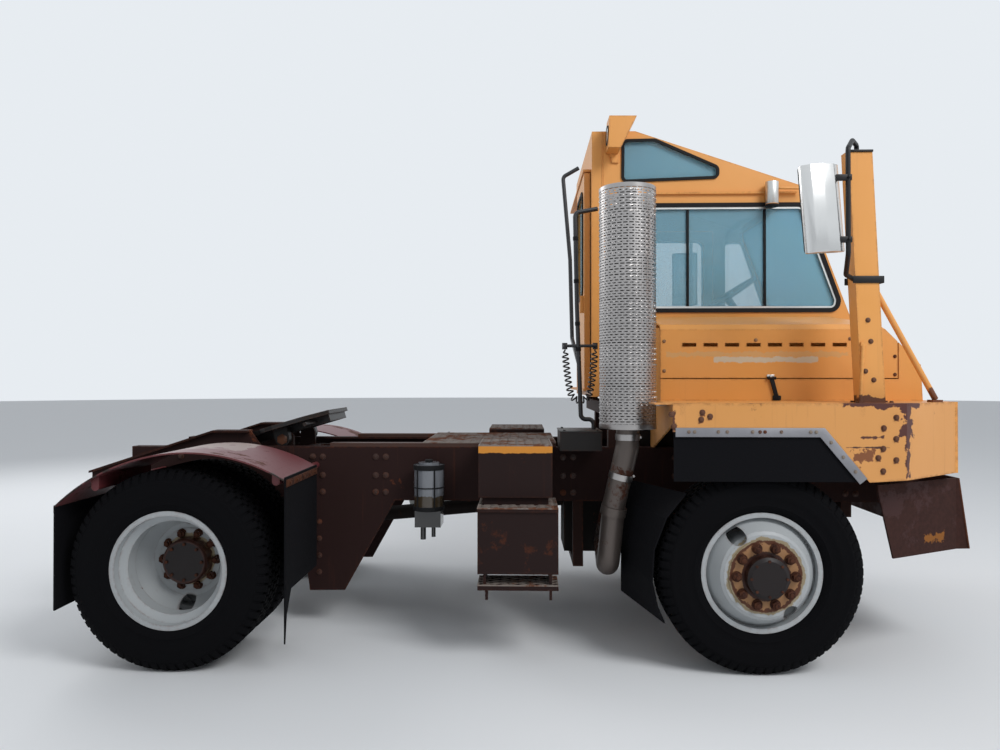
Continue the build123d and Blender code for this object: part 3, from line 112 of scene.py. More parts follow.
floor_shape = bmesh.new()
bmesh.ops.create_circle(floor_shape, cap_ends=True, segments=64, radius=60)
floor_mesh = bpy.data.meshes.new("floor")
floor_shape.to_mesh(floor_mesh)
floor_shape.free()
floor_paint, _, floor_surface = new_finish("pale_floor")
feed(floor_surface, {"Base Color": (0.80, 0.82, 0.84), "Roughness": 0.9})
floor_mesh.materials.append(floor_paint)
add_object("floor", floor_mesh)

# Key from the front right above the camera, fill from behind: place, aim, size in metres, watts
for lamp_name, place, aim, size, watts in (
        ("key_lamp", (5.5, -6.5, 8.0), (0.4, 0, 1.3), 4.5, 560),
        ("fill_lamp", (-7.0, 5.0, 6.5), (0, 0, 1.0), 6.0, 260)):
    lamp_data = bpy.data.lights.new(lamp_name, "AREA")
    lamp_data.shape = "DISK"
    lamp_data.size = size
    lamp_data.energy = watts
    lamp = add_object(lamp_name, lamp_data)
    lamp.location = place
    lamp.rotation_euler = (Vector(aim) - Vector(place)).to_track_quat("-Z", "Y").to_euler()


# Coiled air hose
# A thin black nylon hose wound in a spring that hangs in a U from the tie bars behind the cab.
# Both ends are pressed into the collars of the bars.
def mix_colours(tree, share, first, second):
    """Blend of two colours."""
    return add_node(tree, "Mix", {"Factor": share, "A": first, "B": second}, data_type="RGBA")


def plain_finish(name, colour, roughness, metallic=0.0, grain=60.0, bump=0.05, shade=0.25, coat=0.0,
                 specular=0.5):
    """Material of one colour that varies a little, with a fine grain in its surface."""
    finish, tree, surface = new_finish(name)
    place = add_node(tree, "TexCoord").outputs["Object"]
    spots = add_node(tree, "TexNoise", {"Scale": grain / 10, "Detail": 6, "Vector": place})
    fine = add_node(tree, "TexNoise", {"Scale": grain * 4, "Detail": 3, "Vector": place})
    feed(surface, {
        "Base Color": mix_colours(tree, spots, [c * (1 - shade) for c in colour],
                                  [min(1, c * (1 + shade)) for c in colour]),
        "Roughness": add_node(tree, "MapRange", {"Value": spots, "To Min": roughness - 0.08,
                                                 "To Max": min(1, roughness + 0.12)}),
        "Normal": add_node(tree, "Bump", {"Strength": bump, "Distance": 0.004, "Height": fine}),
        "Metallic": metallic, "Coat Weight": coat, "Specular IOR Level": specular})
    return finish


def draw_curve(name, points, kind, radius=0.0, rings=2, resolution=2):
    """Curve drawn to its points, with a round section."""
    curve = bpy.data.curves.new(name, "CURVE")
    curve.dimensions = "3D"
    curve.resolution_u = resolution
    curve.bevel_depth = radius
    curve.bevel_resolution = rings
    curve.use_fill_caps = True
    spline = curve.splines.new(kind)
    spline.points.add(len(points) - 1)
    for point, spot in zip(spline.points, points):
        point.co = (*spot, 1)
    spline.order_u = 3
    spline.use_endpoint_u = True
    spline.use_smooth = True
    return curve


hose_route = [(0.350, -0.440, 1.650), (0.372, -0.450, 1.400), (0.410, -0.455, 1.350),
              (0.468, -0.455, 1.350), (0.508, -0.455, 1.400), (0.530, -0.440, 1.650)]
hose_diameter = 0.0095
hose_coil_radius = 0.0180
hose_pitch = 0.028
hose_lead_in = 0.03
steps_per_turn = 14
route = bpy.data.objects.new("hose_route", draw_curve("hose_route", hose_route, "NURBS", resolution=24))
route_line = [v.co.copy() for v in bpy.data.meshes.new_from_object(route).vertices]
bpy.data.objects.remove(route)
reach = [0.0]
for before, here in zip(route_line, route_line[1:]):
    reach.append(reach[-1] + (here - before).length)


def along_route(distance):
    """Point and direction at a distance along the hose's route."""
    for index in range(1, len(reach)):
        if distance <= reach[index] or index == len(reach) - 1:
            share = (distance - reach[index - 1]) / (reach[index] - reach[index - 1])
            run = route_line[index] - route_line[index - 1]
            return route_line[index - 1] + run * share, run.normalized()


coil_points = []
coil_steps = round(reach[-1] / hose_pitch) * steps_per_turn
for step in range(coil_steps + 1):
    distance = reach[-1] * step / coil_steps
    middle, heading = along_route(distance)
    across = Vector((0, 1, 0))
    side = heading.cross(across).normalized()
    opening = min(1, distance / hose_lead_in, (reach[-1] - distance) / hose_lead_in) * hose_coil_radius
    turn = 2 * math.pi * step / steps_per_turn
    coil_points.append(middle + opening * (math.cos(turn) * side + math.sin(turn) * across))
coiled_air_hose = add_object("coiled_air_hose", draw_curve(
    "coiled_air_hose", coil_points, "NURBS", hose_diameter / 2))
coiled_air_hose.data.materials.append(plain_finish("black_hose_nylon", (0.010, 0.010, 0.012), 0.42, coat=0.2))
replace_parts(coiled_air_hose, "air_hose")
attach(coiled_air_hose, "chassis")


# Cab shell
# Six welded panels of orange-yellow painted steel, faded by the sun and rusted along their edges.
# The inside is lined with pale grey vinyl, and the floor has a black rubber mat.
def new_group(name, entries, results):
    """Shader group with named sockets: its tree, what it is given and its output node."""
    tree = bpy.data.node_groups.new(name, "ShaderNodeTree")
    for way, sockets in (("INPUT", entries), ("OUTPUT", results)):
        for socket, kind in sockets.items():
            tree.interface.new_socket(name=socket, in_out=way, socket_type="NodeSocket" + kind)
    return tree, tree.nodes.new("NodeGroupInput").outputs, tree.nodes.new("NodeGroupOutput")


def rust_and_fade():
    """Shader group: paint that fades, chips at edges and runs with rust, on object coordinates."""
    tree, given, result = new_group(
        "rust_and_fade", {"Paint": "Color", "Rust": "Color", "Chips": "Float", "Edges": "Float",
                          "Runs": "Float", "Scale": "Float"},
        {"Color": "Color", "Worn": "Float", "Height": "Float"})
    place = add_node(tree, "TexCoord").outputs["Object"]

    def noise(scale, detail, roughness=0.6, where=place):
        return add_node(tree, "TexNoise", {"Scale": scale, "Detail": detail, "Roughness": roughness,
                                           "Vector": where})

    def between(value, low, high):
        return add_node(tree, "MapRange", {"Value": value, "From Min": low, "From Max": high})

    def maths(operation, first, second):
        return add_node(tree, "Math", {0: first, 1: second}, operation=operation, use_clamp=True)

    patches = noise(given["Scale"], 12, 0.72)
    chips = between(maths("ADD", patches, maths("MULTIPLY", given["Chips"], 0.3)), 0.70, 0.74)
    rounded = add_node(tree, "Bevel", {"Radius": 0.018}, samples=4)
    bend = add_node(tree, "VectorMath", {0: rounded, 1: add_node(tree, "NewGeometry").outputs["Normal"]},
                    operation="DOT_PRODUCT").outputs["Value"]
    frayed = between(noise(26, 8, 0.7), 0.42, 0.60)
    edges = maths("MULTIPLY", maths("MULTIPLY", between(bend, 0.995, 0.86), frayed), given["Edges"])
    stretched = add_node(tree, "Mapping", {"Scale": (30, 30, 1.6), "Vector": place})
    runs = maths("MULTIPLY", between(noise(1, 5, where=stretched), 0.60, 0.80), given["Runs"])
    worn = maths("MAXIMUM", maths("MAXIMUM", chips, edges), runs)
    lighter = add_node(tree, "HueSaturation", {"Saturation": 0.95, "Value": 1.10, "Color": given["Paint"]})
    faded = mix_colours(tree, between(noise(0.9, 4), 0.3, 0.7), given["Paint"], lighter)
    rust_tone = add_node(tree, "HueSaturation", {"Fac": between(noise(40, 6), 0.2, 0.8), "Value": 2.1,
                                                 "Color": given["Rust"]})
    grain = maths("ADD", maths("MULTIPLY", noise(180, 3), 0.15), 0.6)
    feed(result, {"Color": mix_colours(tree, worn, faded, rust_tone), "Worn": worn,
                  "Height": maths("SUBTRACT", grain, maths("MULTIPLY", worn, 0.35))})
    return tree


weather = rust_and_fade()


def worn_paint(name, paint, rust=(0.060, 0.018, 0.008), chips=0.2, edges=0.6, runs=0.15, scale=3.0, gloss=0.42,
               lining=None, inward=None, specular=0.4):
    """Painted steel with the rust_and_fade group. Faces that look along inward take the lining colour."""
    finish, tree, surface = new_finish(name)
    wear = add_node(tree, "Group", {"Paint": paint, "Rust": rust, "Chips": chips, "Edges": edges, "Runs": runs,
                                    "Scale": scale}, node_tree=weather).outputs
    colour = wear["Color"]
    if inward:
        facing = add_node(tree, "VectorMath", {0: add_node(tree, "TexCoord").outputs["Normal"], 1: inward},
                          operation="DOT_PRODUCT").outputs["Value"]
        inside = add_node(tree, "Math", {0: facing, 1: 0.6}, operation="GREATER_THAN")
        colour = mix_colours(tree, inside, colour, lining)
    feed(surface, {
        "Base Color": colour, "Specular IOR Level": specular,
        "Roughness": add_node(tree, "MapRange", {"Value": wear["Worn"], "To Min": gloss, "To Max": 0.92}),
        "Normal": add_node(tree, "Bump", {"Strength": 0.35, "Distance": 0.002, "Height": wear["Height"]})})
    return finish


def coat_node(name, finish):
    """Give a CAD node its finish."""
    for entry in nodes[name].material_slots:
        entry.material = finish


cab_orange = (0.72, 0.310, 0.062)
headliner_grey = (0.36, 0.35, 0.32)
mat_black = (0.02, 0.02, 0.02)
# Panel and the direction in which its inner face looks
for panel, inward in (("cab_rear_wall", (1, 0, 0)), ("cab_roof", (0, 0, -1)), ("cab_front", (-1, 0, 0)),
                      ("cab_right_wall", (0, 1, 0)), ("cab_left_wall", (0, -1, 0)), ("rear_door", (1, 0, 0)),
                      ("left_door", (0, -1, 0))):
    coat_node(panel, worn_paint(f"{panel}_paint", cab_orange, chips=0.06, edges=0.35, runs=0.05,
                                lining=headliner_grey, inward=inward))
coat_node("cab_floor", worn_paint("cab_floor_paint", cab_orange, chips=0.2, lining=mat_black, inward=(0, 0, 1)))

# Cab windows
# Clear panes in black rubber seals that lap over the sheet metal.
# The glass has a light blue tint, is clear straight on and reflects at a low angle.
glass_tint, glass_clearness = (0.36, 0.70, 0.92), 0.30
side_glass, glass_tree, glass_surface = new_finish("window_glass_blue_tint")
film = add_node(glass_tree, "TexNoise", {"Scale": 2.5, "Detail": 8,
                                         "Vector": add_node(glass_tree, "TexCoord").outputs["Object"]})
rim = add_node(glass_tree, "Fresnel", {"IOR": 1.5})
feed(glass_surface, {
    "Base Color": mix_colours(glass_tree, film, glass_tint, [min(1, c * 1.25) for c in glass_tint]),
    "Alpha": add_node(glass_tree, "MapRange", {"Value": rim, "To Min": glass_clearness, "To Max": 1}),
    "Roughness": 0.03, "Specular IOR Level": 0.8})
for pane in ("cab_glass", "left_door_glass", "rear_door_glass"):
    coat_node(pane, side_glass)


def finish_piece(shape, name, finish, body, crease=35):
    """Turn a bmesh into a piece that rides on a body, smooth except along sharp edges."""
    bmesh.ops.recalc_face_normals(shape, faces=list(shape.faces))
    for face in shape.faces:
        face.smooth = True
    for edge in shape.edges:
        if len(edge.link_faces) != 2 or edge.calc_face_angle(0) > math.radians(crease):
            edge.smooth = False
    mesh = bpy.data.meshes.new(name)
    shape.to_mesh(mesh)
    shape.free()
    mesh.materials.append(finish)
    piece = add_object(name, mesh)
    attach(piece, body)
    return piece


def join_into(shape, part):
    """Move the faces of one bmesh into another."""
    mesh = bpy.data.meshes.new("part")
    part.to_mesh(mesh)
    part.free()
    shape.from_mesh(mesh)
    bpy.data.meshes.remove(mesh)


def thicken(shape, faces, move):
    """Extrude faces by a vector, keep the faces they leave, and return the moved corners."""
    made = bmesh.ops.extrude_face_region(shape, geom=faces, use_keep_orig=True)["geom"]
    moved = [item for item in made if isinstance(item, bmesh.types.BMVert)]
    bmesh.ops.translate(shape, verts=moved, vec=move)
    return moved


def window_seal(shape, corners, corner_radius, lap, width, outward, depth):
    """Rubber ring around an opening with rounded corners: it laps over the sheet and stands out by depth."""
    outward = Vector(outward).normalized()
    seal = bmesh.new()
    opening = seal.faces.new([seal.verts.new(corner) for corner in corners])
    opening.normal_update()
    if opening.normal.dot(outward) < 0:
        opening.normal_flip()
    bends = [(loop.vert, corner_radius / math.tan(loop.calc_angle() / 2)) for loop in opening.loops]
    for vert, bend in bends:
        bmesh.ops.bevel(seal, geom=[vert], offset=bend, offset_type="OFFSET", segments=7, profile=0.5,
                        affect="VERTICES", material=-1)
    seal.faces.ensure_lookup_table()
    opening = seal.faces[0]
    for thickness, context in ((-lap, "FACES"), (width, "FACES_ONLY")):
        edge_faces = bmesh.ops.inset_region(seal, faces=[opening], thickness=thickness, use_boundary=True,
                                            use_even_offset=True)["faces"]
        bmesh.ops.delete(seal, geom=edge_faces if context == "FACES" else [opening], context=context)
    thicken(seal, edge_faces, outward * depth)
    bmesh.ops.recalc_face_normals(seal, faces=list(seal.faces))
    join_into(shape, seal)


rubber_black = plain_finish("seal_rubber", (0.006, 0.006, 0.007), 0.70, specular=0.25)
# Outlines of the openings, and the planes of the walls and doors that they lie in
side_window = [(0.760, 1.907), (0.760, 2.558), (1.843, 2.558), (2.057, 1.967), (2.045, 1.907)]
quarter_window = [(0.725, 2.712), (0.728, 2.968), (0.928, 2.971), (1.318, 2.798), (1.318, 2.733)]
left_vent = [(1.700, 1.960), (1.700, 2.560), (1.840, 2.560), (2.040, 1.960)]
rear_window = [(0.560, 2.000), (0.560, 2.720), (1.010, 2.720), (1.010, 2.000)]
right_wall_face, left_wall_face, rear_wall_face = -0.2002, 1.1002, 0.5348
windshield_low, windshield_high = Vector((2.130, 0, 1.867)), Vector((1.825, 0, 2.683))
windshield_slope = (windshield_high - windshield_low).normalized()
windshield_out = Vector((windshield_slope.z, 0, -windshield_slope.x))
windshield_border = 0.06
windshield_foot = windshield_low + windshield_slope * windshield_border
windshield_head = windshield_high - windshield_slope * windshield_border
windshield = [(end.x, y, end.z) for end, y in ((windshield_foot, -0.14), (windshield_head, -0.14),
                                               (windshield_head, 1.04), (windshield_foot, 1.04))]
seals = bmesh.new()
for outline, radius, y, side, width in ((side_window, 0.045, right_wall_face, -1, 0.026),
                                        (quarter_window, 0.03, right_wall_face, -1, 0.018),
                                        (left_vent, 0.04, left_wall_face, 1, 0.026)):
    window_seal(seals, [(x, y, z) for x, z in outline], radius, width - 0.010, width, (0, side, 0), 0.009)
# The seal beside the sliding door is flat, so that the door passes it
window_seal(seals, [(rear_wall_face, y, z) for y, z in rear_window], 0.08, 0.016, 0.026, (-1, 0, 0), 0.003)
window_seal(seals, windshield, 0.07, 0.018, 0.032, windshield_out, 0.009)
finish_piece(seals, "cab_window_seals", rubber_black, "cab")

# Door window seals, side window frame and bars
# Black rubber seals around the door windows. The side window has a bright aluminium frame inside its seal
# and two dark upright bars that guide the sliding pane, and a drip rail is folded out of the wall above it.
door_window = [(0.870, 1.960), (0.870, 2.570), (1.535, 2.570), (1.535, 1.960)]
rear_door_window = [(-0.040, 2.020), (-0.040, 2.690), (0.400, 2.690), (0.400, 2.020)]
rear_door_face, side_frame_face = 0.4928, -0.1955
bright_aluminium = plain_finish("window_frame_aluminium", (0.62, 0.62, 0.60), 0.32, metallic=0.9, bump=0.02)
door_seal = bmesh.new()
window_seal(door_seal, [(x, left_wall_face, z) for x, z in door_window], 0.06, 0.014, 0.024, (0, 1, 0), 0.008)
finish_piece(door_seal, "left_door_seal", rubber_black, "left_door")
door_seal = bmesh.new()
window_seal(door_seal, [(rear_door_face, y, z) for y, z in rear_door_window], 0.08, 0.014, 0.024, (-1, 0, 0), 0.008)
finish_piece(door_seal, "rear_door_seal", rubber_black, "rear_door")
side_frame = bmesh.new()
window_seal(side_frame, [(x, side_frame_face, z) for x, z in side_window], 0.04, -0.008, 0.014, (0, -1, 0), 0.008)
finish_piece(side_frame, "side_window_frame", bright_aluminium, "cab")


def round_edges(shape, edges, size, segments=2):
    """Round the edges of a bmesh."""
    bmesh.ops.bevel(shape, geom=list(edges), offset=size, segments=segments, profile=0.5, affect="EDGES",
                    material=-1)


def block(shape, low, high, bevel=0.0, segments=2):
    """Block between two corners with rounded edges."""
    low, high = Vector(low), Vector(high)
    place = Matrix.Translation((low + high) / 2) @ Matrix.Diagonal((*(high - low), 1))
    made = bmesh.ops.create_cube(shape, size=1, matrix=place)["verts"]
    if bevel:
        round_edges(shape, {edge for vert in made for edge in vert.link_edges}, bevel, segments)


def bar(shape, start, end, radius, sides=20, end_radius=None, bevel=0.0):
    """Round or many-sided bar between two points, its end edges rounded."""
    start, end = Vector(start), Vector(end)
    run = end - start
    place = Matrix.Translation((start + end) / 2) @ run.to_track_quat("Z", "Y").to_matrix().to_4x4()
    made = bmesh.ops.create_cone(shape, cap_ends=True, segments=sides, radius1=radius,
                                 radius2=radius if end_radius is None else end_radius,
                                 depth=run.length, matrix=place)["verts"]
    if bevel:
        caps = {face for vert in made for face in vert.link_faces if len(face.verts) == sides}
        round_edges(shape, {edge for face in caps for edge in face.edges}, bevel)


def slab(shape, corners, thickness, bevel=0.0):
    """Flat plate with the outline of its corners, thickened by a vector, its edges rounded."""
    face = shape.faces.new([shape.verts.new(corner) for corner in corners])
    face.normal_update()
    if face.normal.dot(Vector(thickness)) > 0:
        face.normal_flip()
    top = thicken(shape, [face], thickness)
    if bevel:
        round_edges(shape, {edge for vert in (*top, *face.verts) for edge in vert.link_edges}, bevel)


bars = bmesh.new()
for x in (1.132, 1.609):
    block(bars, (x - 0.008, -0.196, 1.912), (x + 0.008, -0.184, 2.553), 0.002)
finish_piece(bars, "side_window_bars", rubber_black, "cab")
rail = bmesh.new()
slab(rail, [(0.928, y, z) for y, z in ((-0.200, 2.640), (-0.214, 2.634), (-0.216, 2.640), (-0.219, 2.640),
                                       (-0.218, 2.628), (-0.200, 2.634))], (0.872, 0, 0))
for x in (0.597, 0.606):
    block(rail, (x - 0.0015, -0.2025, 1.40), (x + 0.0015, -0.1995, 3.02), 0.0008, 1)
finish_piece(rail, "drip_rail_and_corner_seam", worn_paint("drip_rail_paint", cab_orange, chips=0.1, edges=0.4),
             "cab")


# Lamps on the cab
# A boxed steel work lamp that faces the fifth wheel, and a silver canister above the side window.
# The work lamp has a ribbed glass behind a rubber bezel, and the canister's lens looks down.
def lamp_glass(name, tint):
    """Ribbed lens that shows its colour with a bright coat."""
    return plain_finish(name, tint, 0.12, grain=40, bump=0.3, shade=0.12, coat=1.0, specular=0.8)


def ring(shape, centre, axis, major, minor, steps=36, sides=10):
    """Closed ring of round section about an axis, spun from one circle."""
    axis = Vector(axis).normalized()
    place = Matrix.Translation(centre) @ axis.to_track_quat("Z", "Y").to_matrix().to_4x4()
    section = bmesh.ops.create_circle(
        shape, cap_ends=False, segments=sides, radius=minor,
        matrix=place @ Matrix.Translation((major, 0, 0)) @ Matrix.Rotation(math.pi / 2, 4, "X"))["verts"]
    loop = list({edge for vert in section for edge in vert.link_edges})
    bmesh.ops.spin(shape, geom=[*section, *loop], cent=centre, axis=axis, angle=2 * math.pi, steps=steps,
                   use_merge=True)
    bmesh.ops.remove_doubles(shape, verts=list(shape.verts), dist=1e-6)


coat_node("cab_lamps", worn_paint("cab_lamps_paint", cab_orange, chips=0.1, edges=0.5))
work_lens = bmesh.new()
bmesh.ops.create_uvsphere(work_lens, u_segments=32, v_segments=16, radius=0.052,
                          matrix=Matrix.Translation((0.626, -0.277, 2.975)) @ Matrix.Diagonal((0.16, 1, 1.2, 1)))
finish_piece(work_lens, "work_lamp_lens", lamp_glass("clear_lens", (0.62, 0.66, 0.66)), "cab")
bezel = bmesh.new()
ring(bezel, (0.624, -0.277, 2.975), (1, 0, 0), 0.056, 0.006)
finish_piece(bezel, "work_lamp_bezel", rubber_black, "cab")
# Piece, its ends in height, radius, rounding, finish and slot
for name, low, high, radius, bevel, finish, slot in (
        ("canister_lamp_shell", 2.552, 2.6925, 0.0395, 0.006, bright_aluminium, "stainless"),
        ("canister_lamp_base", 2.5375, 2.5518, 0.041, 0.004, rubber_black, "black_plastic")):
    canister = bmesh.new()
    bar(canister, (1.636, -0.25, low), (1.636, -0.25, high), radius, 32, bevel=bevel)
    finish_piece(canister, name, finish, "cab")


# Windshield wiper and left door handle
# A black pressed steel wiper arm on a spindle under the windshield, with its rubber blade on the glass.
# The door is opened with a chromed lever in a plain escutcheon.
def on_windshield(rise, y, out):
    """Point on the windshield: metres up its slope from the foot, across, and out of the glass."""
    spot = windshield_low + windshield_slope * rise + windshield_out * out
    return (spot.x, y, spot.z)


wiper = bmesh.new()
for start, end, radius, sides, end_radius, bevel in (
        ((0.03, 0.18, -0.004), (0.03, 0.18, 0.022), 0.016, 20, None, 0.003),
        ((0.03, 0.18, 0.014), (0.40, 0.30, 0.024), 0.006, 12, 0.004, 0),
        ((0.16, 0.275, 0.010), (0.66, 0.325, 0.010), 0.006, 8, None, 0.001),
        ((0.40, 0.299, 0.010), (0.40, 0.301, 0.026), 0.008, 12, None, 0.001)):
    bar(wiper, on_windshield(*start), on_windshield(*end), radius, sides, end_radius, bevel)
finish_piece(wiper, "windshield_wiper", plain_finish("wiper_black", (0.015, 0.015, 0.016), 0.5), "cab")
handle = bmesh.new()
slab(handle, [(0.82, 1.1, 1.80), (0.95, 1.1, 1.80), (0.95, 1.1, 1.88), (0.82, 1.1, 1.88)], (0, 0.006, 0), 0.002)
block(handle, (0.835, 1.106, 1.832), (0.935, 1.134, 1.858), 0.008, 3)
finish_piece(handle, "left_door_handle", bright_aluminium, "left_door")

# Dashboard, gauges and steering wheel
# A moulded grey-black console across the cab with a row of round gauges, and a thick rimmed black wheel.
# The gauges have plain dark dials under glass and bright bezels.
coat_node("dashboard", plain_finish("dash_plastic", (0.028, 0.028, 0.030), 0.5, grain=120, bump=0.2))
coat_node("steering_wheel", plain_finish("wheel_plastic", (0.015, 0.015, 0.016), 0.38, grain=90, coat=0.3))
dials, rims = bmesh.new(), bmesh.new()
slope = Vector((-0.09, 0, 0.05)).normalized()
for y, radius in ((0.27, 0.03), (0.36, 0.045), (0.47, 0.045), (0.56, 0.03), (0.64, 0.03), (0.72, 0.03)):
    spot = Vector((1.765, y, 1.805))
    bar(dials, spot - slope * 0.01, spot + slope * 0.004, radius, 28, bevel=0.001)
    ring(rims, spot + slope * 0.005, slope, radius, 0.004)
finish_piece(dials, "gauge_dials", plain_finish("dial_black", (0.02, 0.02, 0.022), 0.15, coat=1.0), "cab")
finish_piece(rims, "gauge_bezels", bright_aluminium, "cab")

# Driver's seat
# A deep foam seat and back in dark woven cloth on a black steel pedestal. The cloth swells between the seams
# of its welted edge.
swell_limit, swell_frames = 0.014, 20
coat_node("seat_base", plain_finish("seat_steel", (0.02, 0.02, 0.021), 0.5))
seat_cloth = plain_finish("seat_cloth", (0.020, 0.021, 0.026), 0.9, grain=300, bump=0.5)


def padded_piece(name, low, high, tilt):
    """Foam pad swollen from a block by cloth pressure, up to the swell limit."""
    low, high = Vector(low), Vector(high)
    shape = bmesh.new()
    block(shape, low, high, 0.03, 3)
    bmesh.ops.subdivide_edges(shape, edges=list(shape.edges), cuts=3, use_grid_fill=True)
    centre = (low + high) / 2
    mesh = bpy.data.meshes.new(name)
    shape.to_mesh(mesh)
    shape.free()
    pad = add_object(name, mesh)
    mesh.transform(Matrix.Translation(centre) @ Matrix.Rotation(tilt, 4, "Y") @ Matrix.Translation(-centre))
    bpy.context.view_layer.update()
    remesh = pad.modifiers.new("remesh", "REMESH")
    remesh.mode = "VOXEL"
    remesh.voxel_size = 0.006
    bpy.context.view_layer.objects.active = pad
    bpy.ops.object.modifier_apply(modifier="remesh")
    mesh = pad.data
    before = [vert.co.copy() for vert in mesh.vertices]
    swell = pad.modifiers.new("swell", "CLOTH")
    swell.settings.use_pressure = True
    swell.settings.uniform_pressure_force = 4
    swell.settings.effector_weights.gravity = 0
    swell.point_cache.frame_start = 1
    swell.point_cache.frame_end = swell_frames
    for number in range(1, swell_frames + 1):
        scene.frame_set(number)
    swollen = pad.evaluated_get(bpy.context.evaluated_depsgraph_get()).to_mesh()
    after = [vert.co.copy() for vert in swollen.vertices]
    pad.modifiers.remove(swell)
    for vert, old, new in zip(mesh.vertices, before, after):
        move = new - old
        vert.co = old + move * min(1, swell_limit / max(move.length, 1e-9))
    scene.frame_set(1)
    for face in mesh.polygons:
        face.use_smooth = True
    mesh.materials.append(seat_cloth)
    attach(pad, "cab")
    return pad


seat_pad = padded_piece("seat_pad", (0.942, 0.222, 1.739), (1.298, 0.678, 1.829), 0)
padded_piece("back_pad", (0.795, 0.237, 1.755), (0.875, 0.663, 2.345), -0.084)
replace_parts(seat_pad, "seat_cushions")


# Hood over the radiator and air cleaner
# Folded sheet steel painted like the cab, with a lid hinged along the cab side. The paint has come off in
# stripes between the louvres, and a rubber strap latch hooks over a catch on the lid.
def patch_group(name, radial):
    """Shader group: another colour with a ragged edge, inside a box or inside a radius about the Y axis."""
    tree, given, result = new_group(
        name, {"Color": "Color", "Patch": "Color", "Centre": "Vector", "Half": "Vector", "Ragged": "Float",
               "Grain": "Float"}, {"Color": "Color"})

    def maths(kind, first, second):
        return add_node(tree, "Math", {0: first, 1: second}, operation=kind)

    def vectors(kind, *values):
        return add_node(tree, "VectorMath", dict(enumerate(values)), operation=kind)

    place = add_node(tree, "TexCoord").outputs["Object"]
    away = vectors("SUBTRACT", place, given["Centre"])
    if radial:
        flat = vectors("MULTIPLY", away, (1, 0, 1))
        past = maths("SUBTRACT", vectors("LENGTH", flat).outputs["Value"],
                     add_node(tree, "SeparateXYZ", {0: given["Half"]}))
    else:
        beyond = vectors("SUBTRACT", vectors("ABSOLUTE", away), given["Half"])
        beyond = add_node(tree, "SeparateXYZ", {0: beyond}).outputs
        past = maths("MAXIMUM", maths("MAXIMUM", beyond[0], beyond[1]), beyond[2])
    wander = add_node(tree, "TexNoise", {"Scale": given["Grain"], "Detail": 8, "Roughness": 0.65, "Vector": place})
    shift = maths("MULTIPLY", maths("SUBTRACT", wander, 0.5), maths("MULTIPLY", given["Ragged"], 5))
    inside = add_node(tree, "MapRange", {"Value": maths("ADD", past, shift), "From Min": 0.002,
                                         "From Max": -0.002})
    feed(result, {"Color": mix_colours(tree, inside, given["Color"], given["Patch"])})
    return tree


box_patch, round_patch = patch_group("box_patch", False), patch_group("round_patch", True)


def patch(finish, colour, low, high, ragged=0.01, grain=18.0, radial=False):
    """Add a patch to a finish: between two corners, or about a wheel's middle (low) within a radius (high)."""
    tree = finish.node_tree
    surface = tree.nodes["Principled BSDF"]
    low = Vector(low)
    high = Vector((high, high, high)) if radial else Vector(high)
    spot = add_node(tree, "Group", {
        "Color": surface.inputs["Base Color"].links[0].from_socket, "Patch": colour,
        "Centre": low if radial else (low + high) / 2, "Half": high if radial else (high - low) / 2,
        "Ragged": ragged, "Grain": grain}, node_tree=round_patch if radial else box_patch)
    feed(surface, {"Base Color": spot.outputs["Color"]})


def bolt(shape, place, out, radius=0.009, height=0.007):
    """Hexagon head on a round washer, standing out of a surface."""
    place, out = Vector(place), Vector(out).normalized()
    bar(shape, place - out * 0.001, place + out * 0.0018, radius * 1.45, 16, bevel=0.0004)
    bar(shape, place + out * 0.001, place + out * (0.0018 + height), radius, 6, bevel=radius * 0.12)


rust_brown = (0.019, 0.0062, 0.0052)
hood_paint = worn_paint("hood_lid_paint", cab_orange, chips=0.08, edges=0.35, runs=0.04)
patch(hood_paint, (0.60, 0.50, 0.36), (1.16, -0.74, 1.568), (1.73, -0.70, 1.600), 0.006, 30)
patch(hood_paint, (0.66, 0.36, 0.13), (0.90, -0.74, 1.60), (1.90, -0.70, 1.625), 0.012, 22)
coat_node("hood_lid", hood_paint)
coat_node("hood_base", worn_paint("hood_base_paint", cab_orange, chips=0.10, edges=0.45, runs=0.10))
bolts = bmesh.new()
for x, z in ((0.885, 1.685), (1.390, 1.691), (1.906, 1.698), (2.150, 1.600), (0.885, 1.52), (2.150, 1.50)):
    bolt(bolts, (x, -0.720, z), (0, -1, 0), 0.007, 0.005)
finish_piece(bolts, "hood_lid_bolts", worn_paint("bolt_rust", (0.30, 0.16, 0.07), chips=0.7), "hood_lid")
catch = bmesh.new()
block(catch, (1.448, -0.729, 1.483), (1.490, -0.7195, 1.500), 0.003)
bar(catch, (1.468, -0.728, 1.492), (1.468, -0.742, 1.492), 0.008, 16, bevel=0.002)
finish_piece(catch, "hood_catch", bright_aluminium, "hood_lid")
strap = bmesh.new()
slab(strap, [(1.460, -0.731, 1.478), (1.484, -0.731, 1.478), (1.512, -0.731, 1.372), (1.490, -0.731, 1.366)],
     (0, -0.007, 0), 0.002)
bar(strap, (1.448, -0.735, 1.480), (1.496, -0.735, 1.480), 0.008, 16, bevel=0.002)
block(strap, (1.480, -0.736, 1.358), (1.524, -0.7195, 1.384), 0.004)
finish_piece(strap, "hood_strap_latch", rubber_black, "chassis")

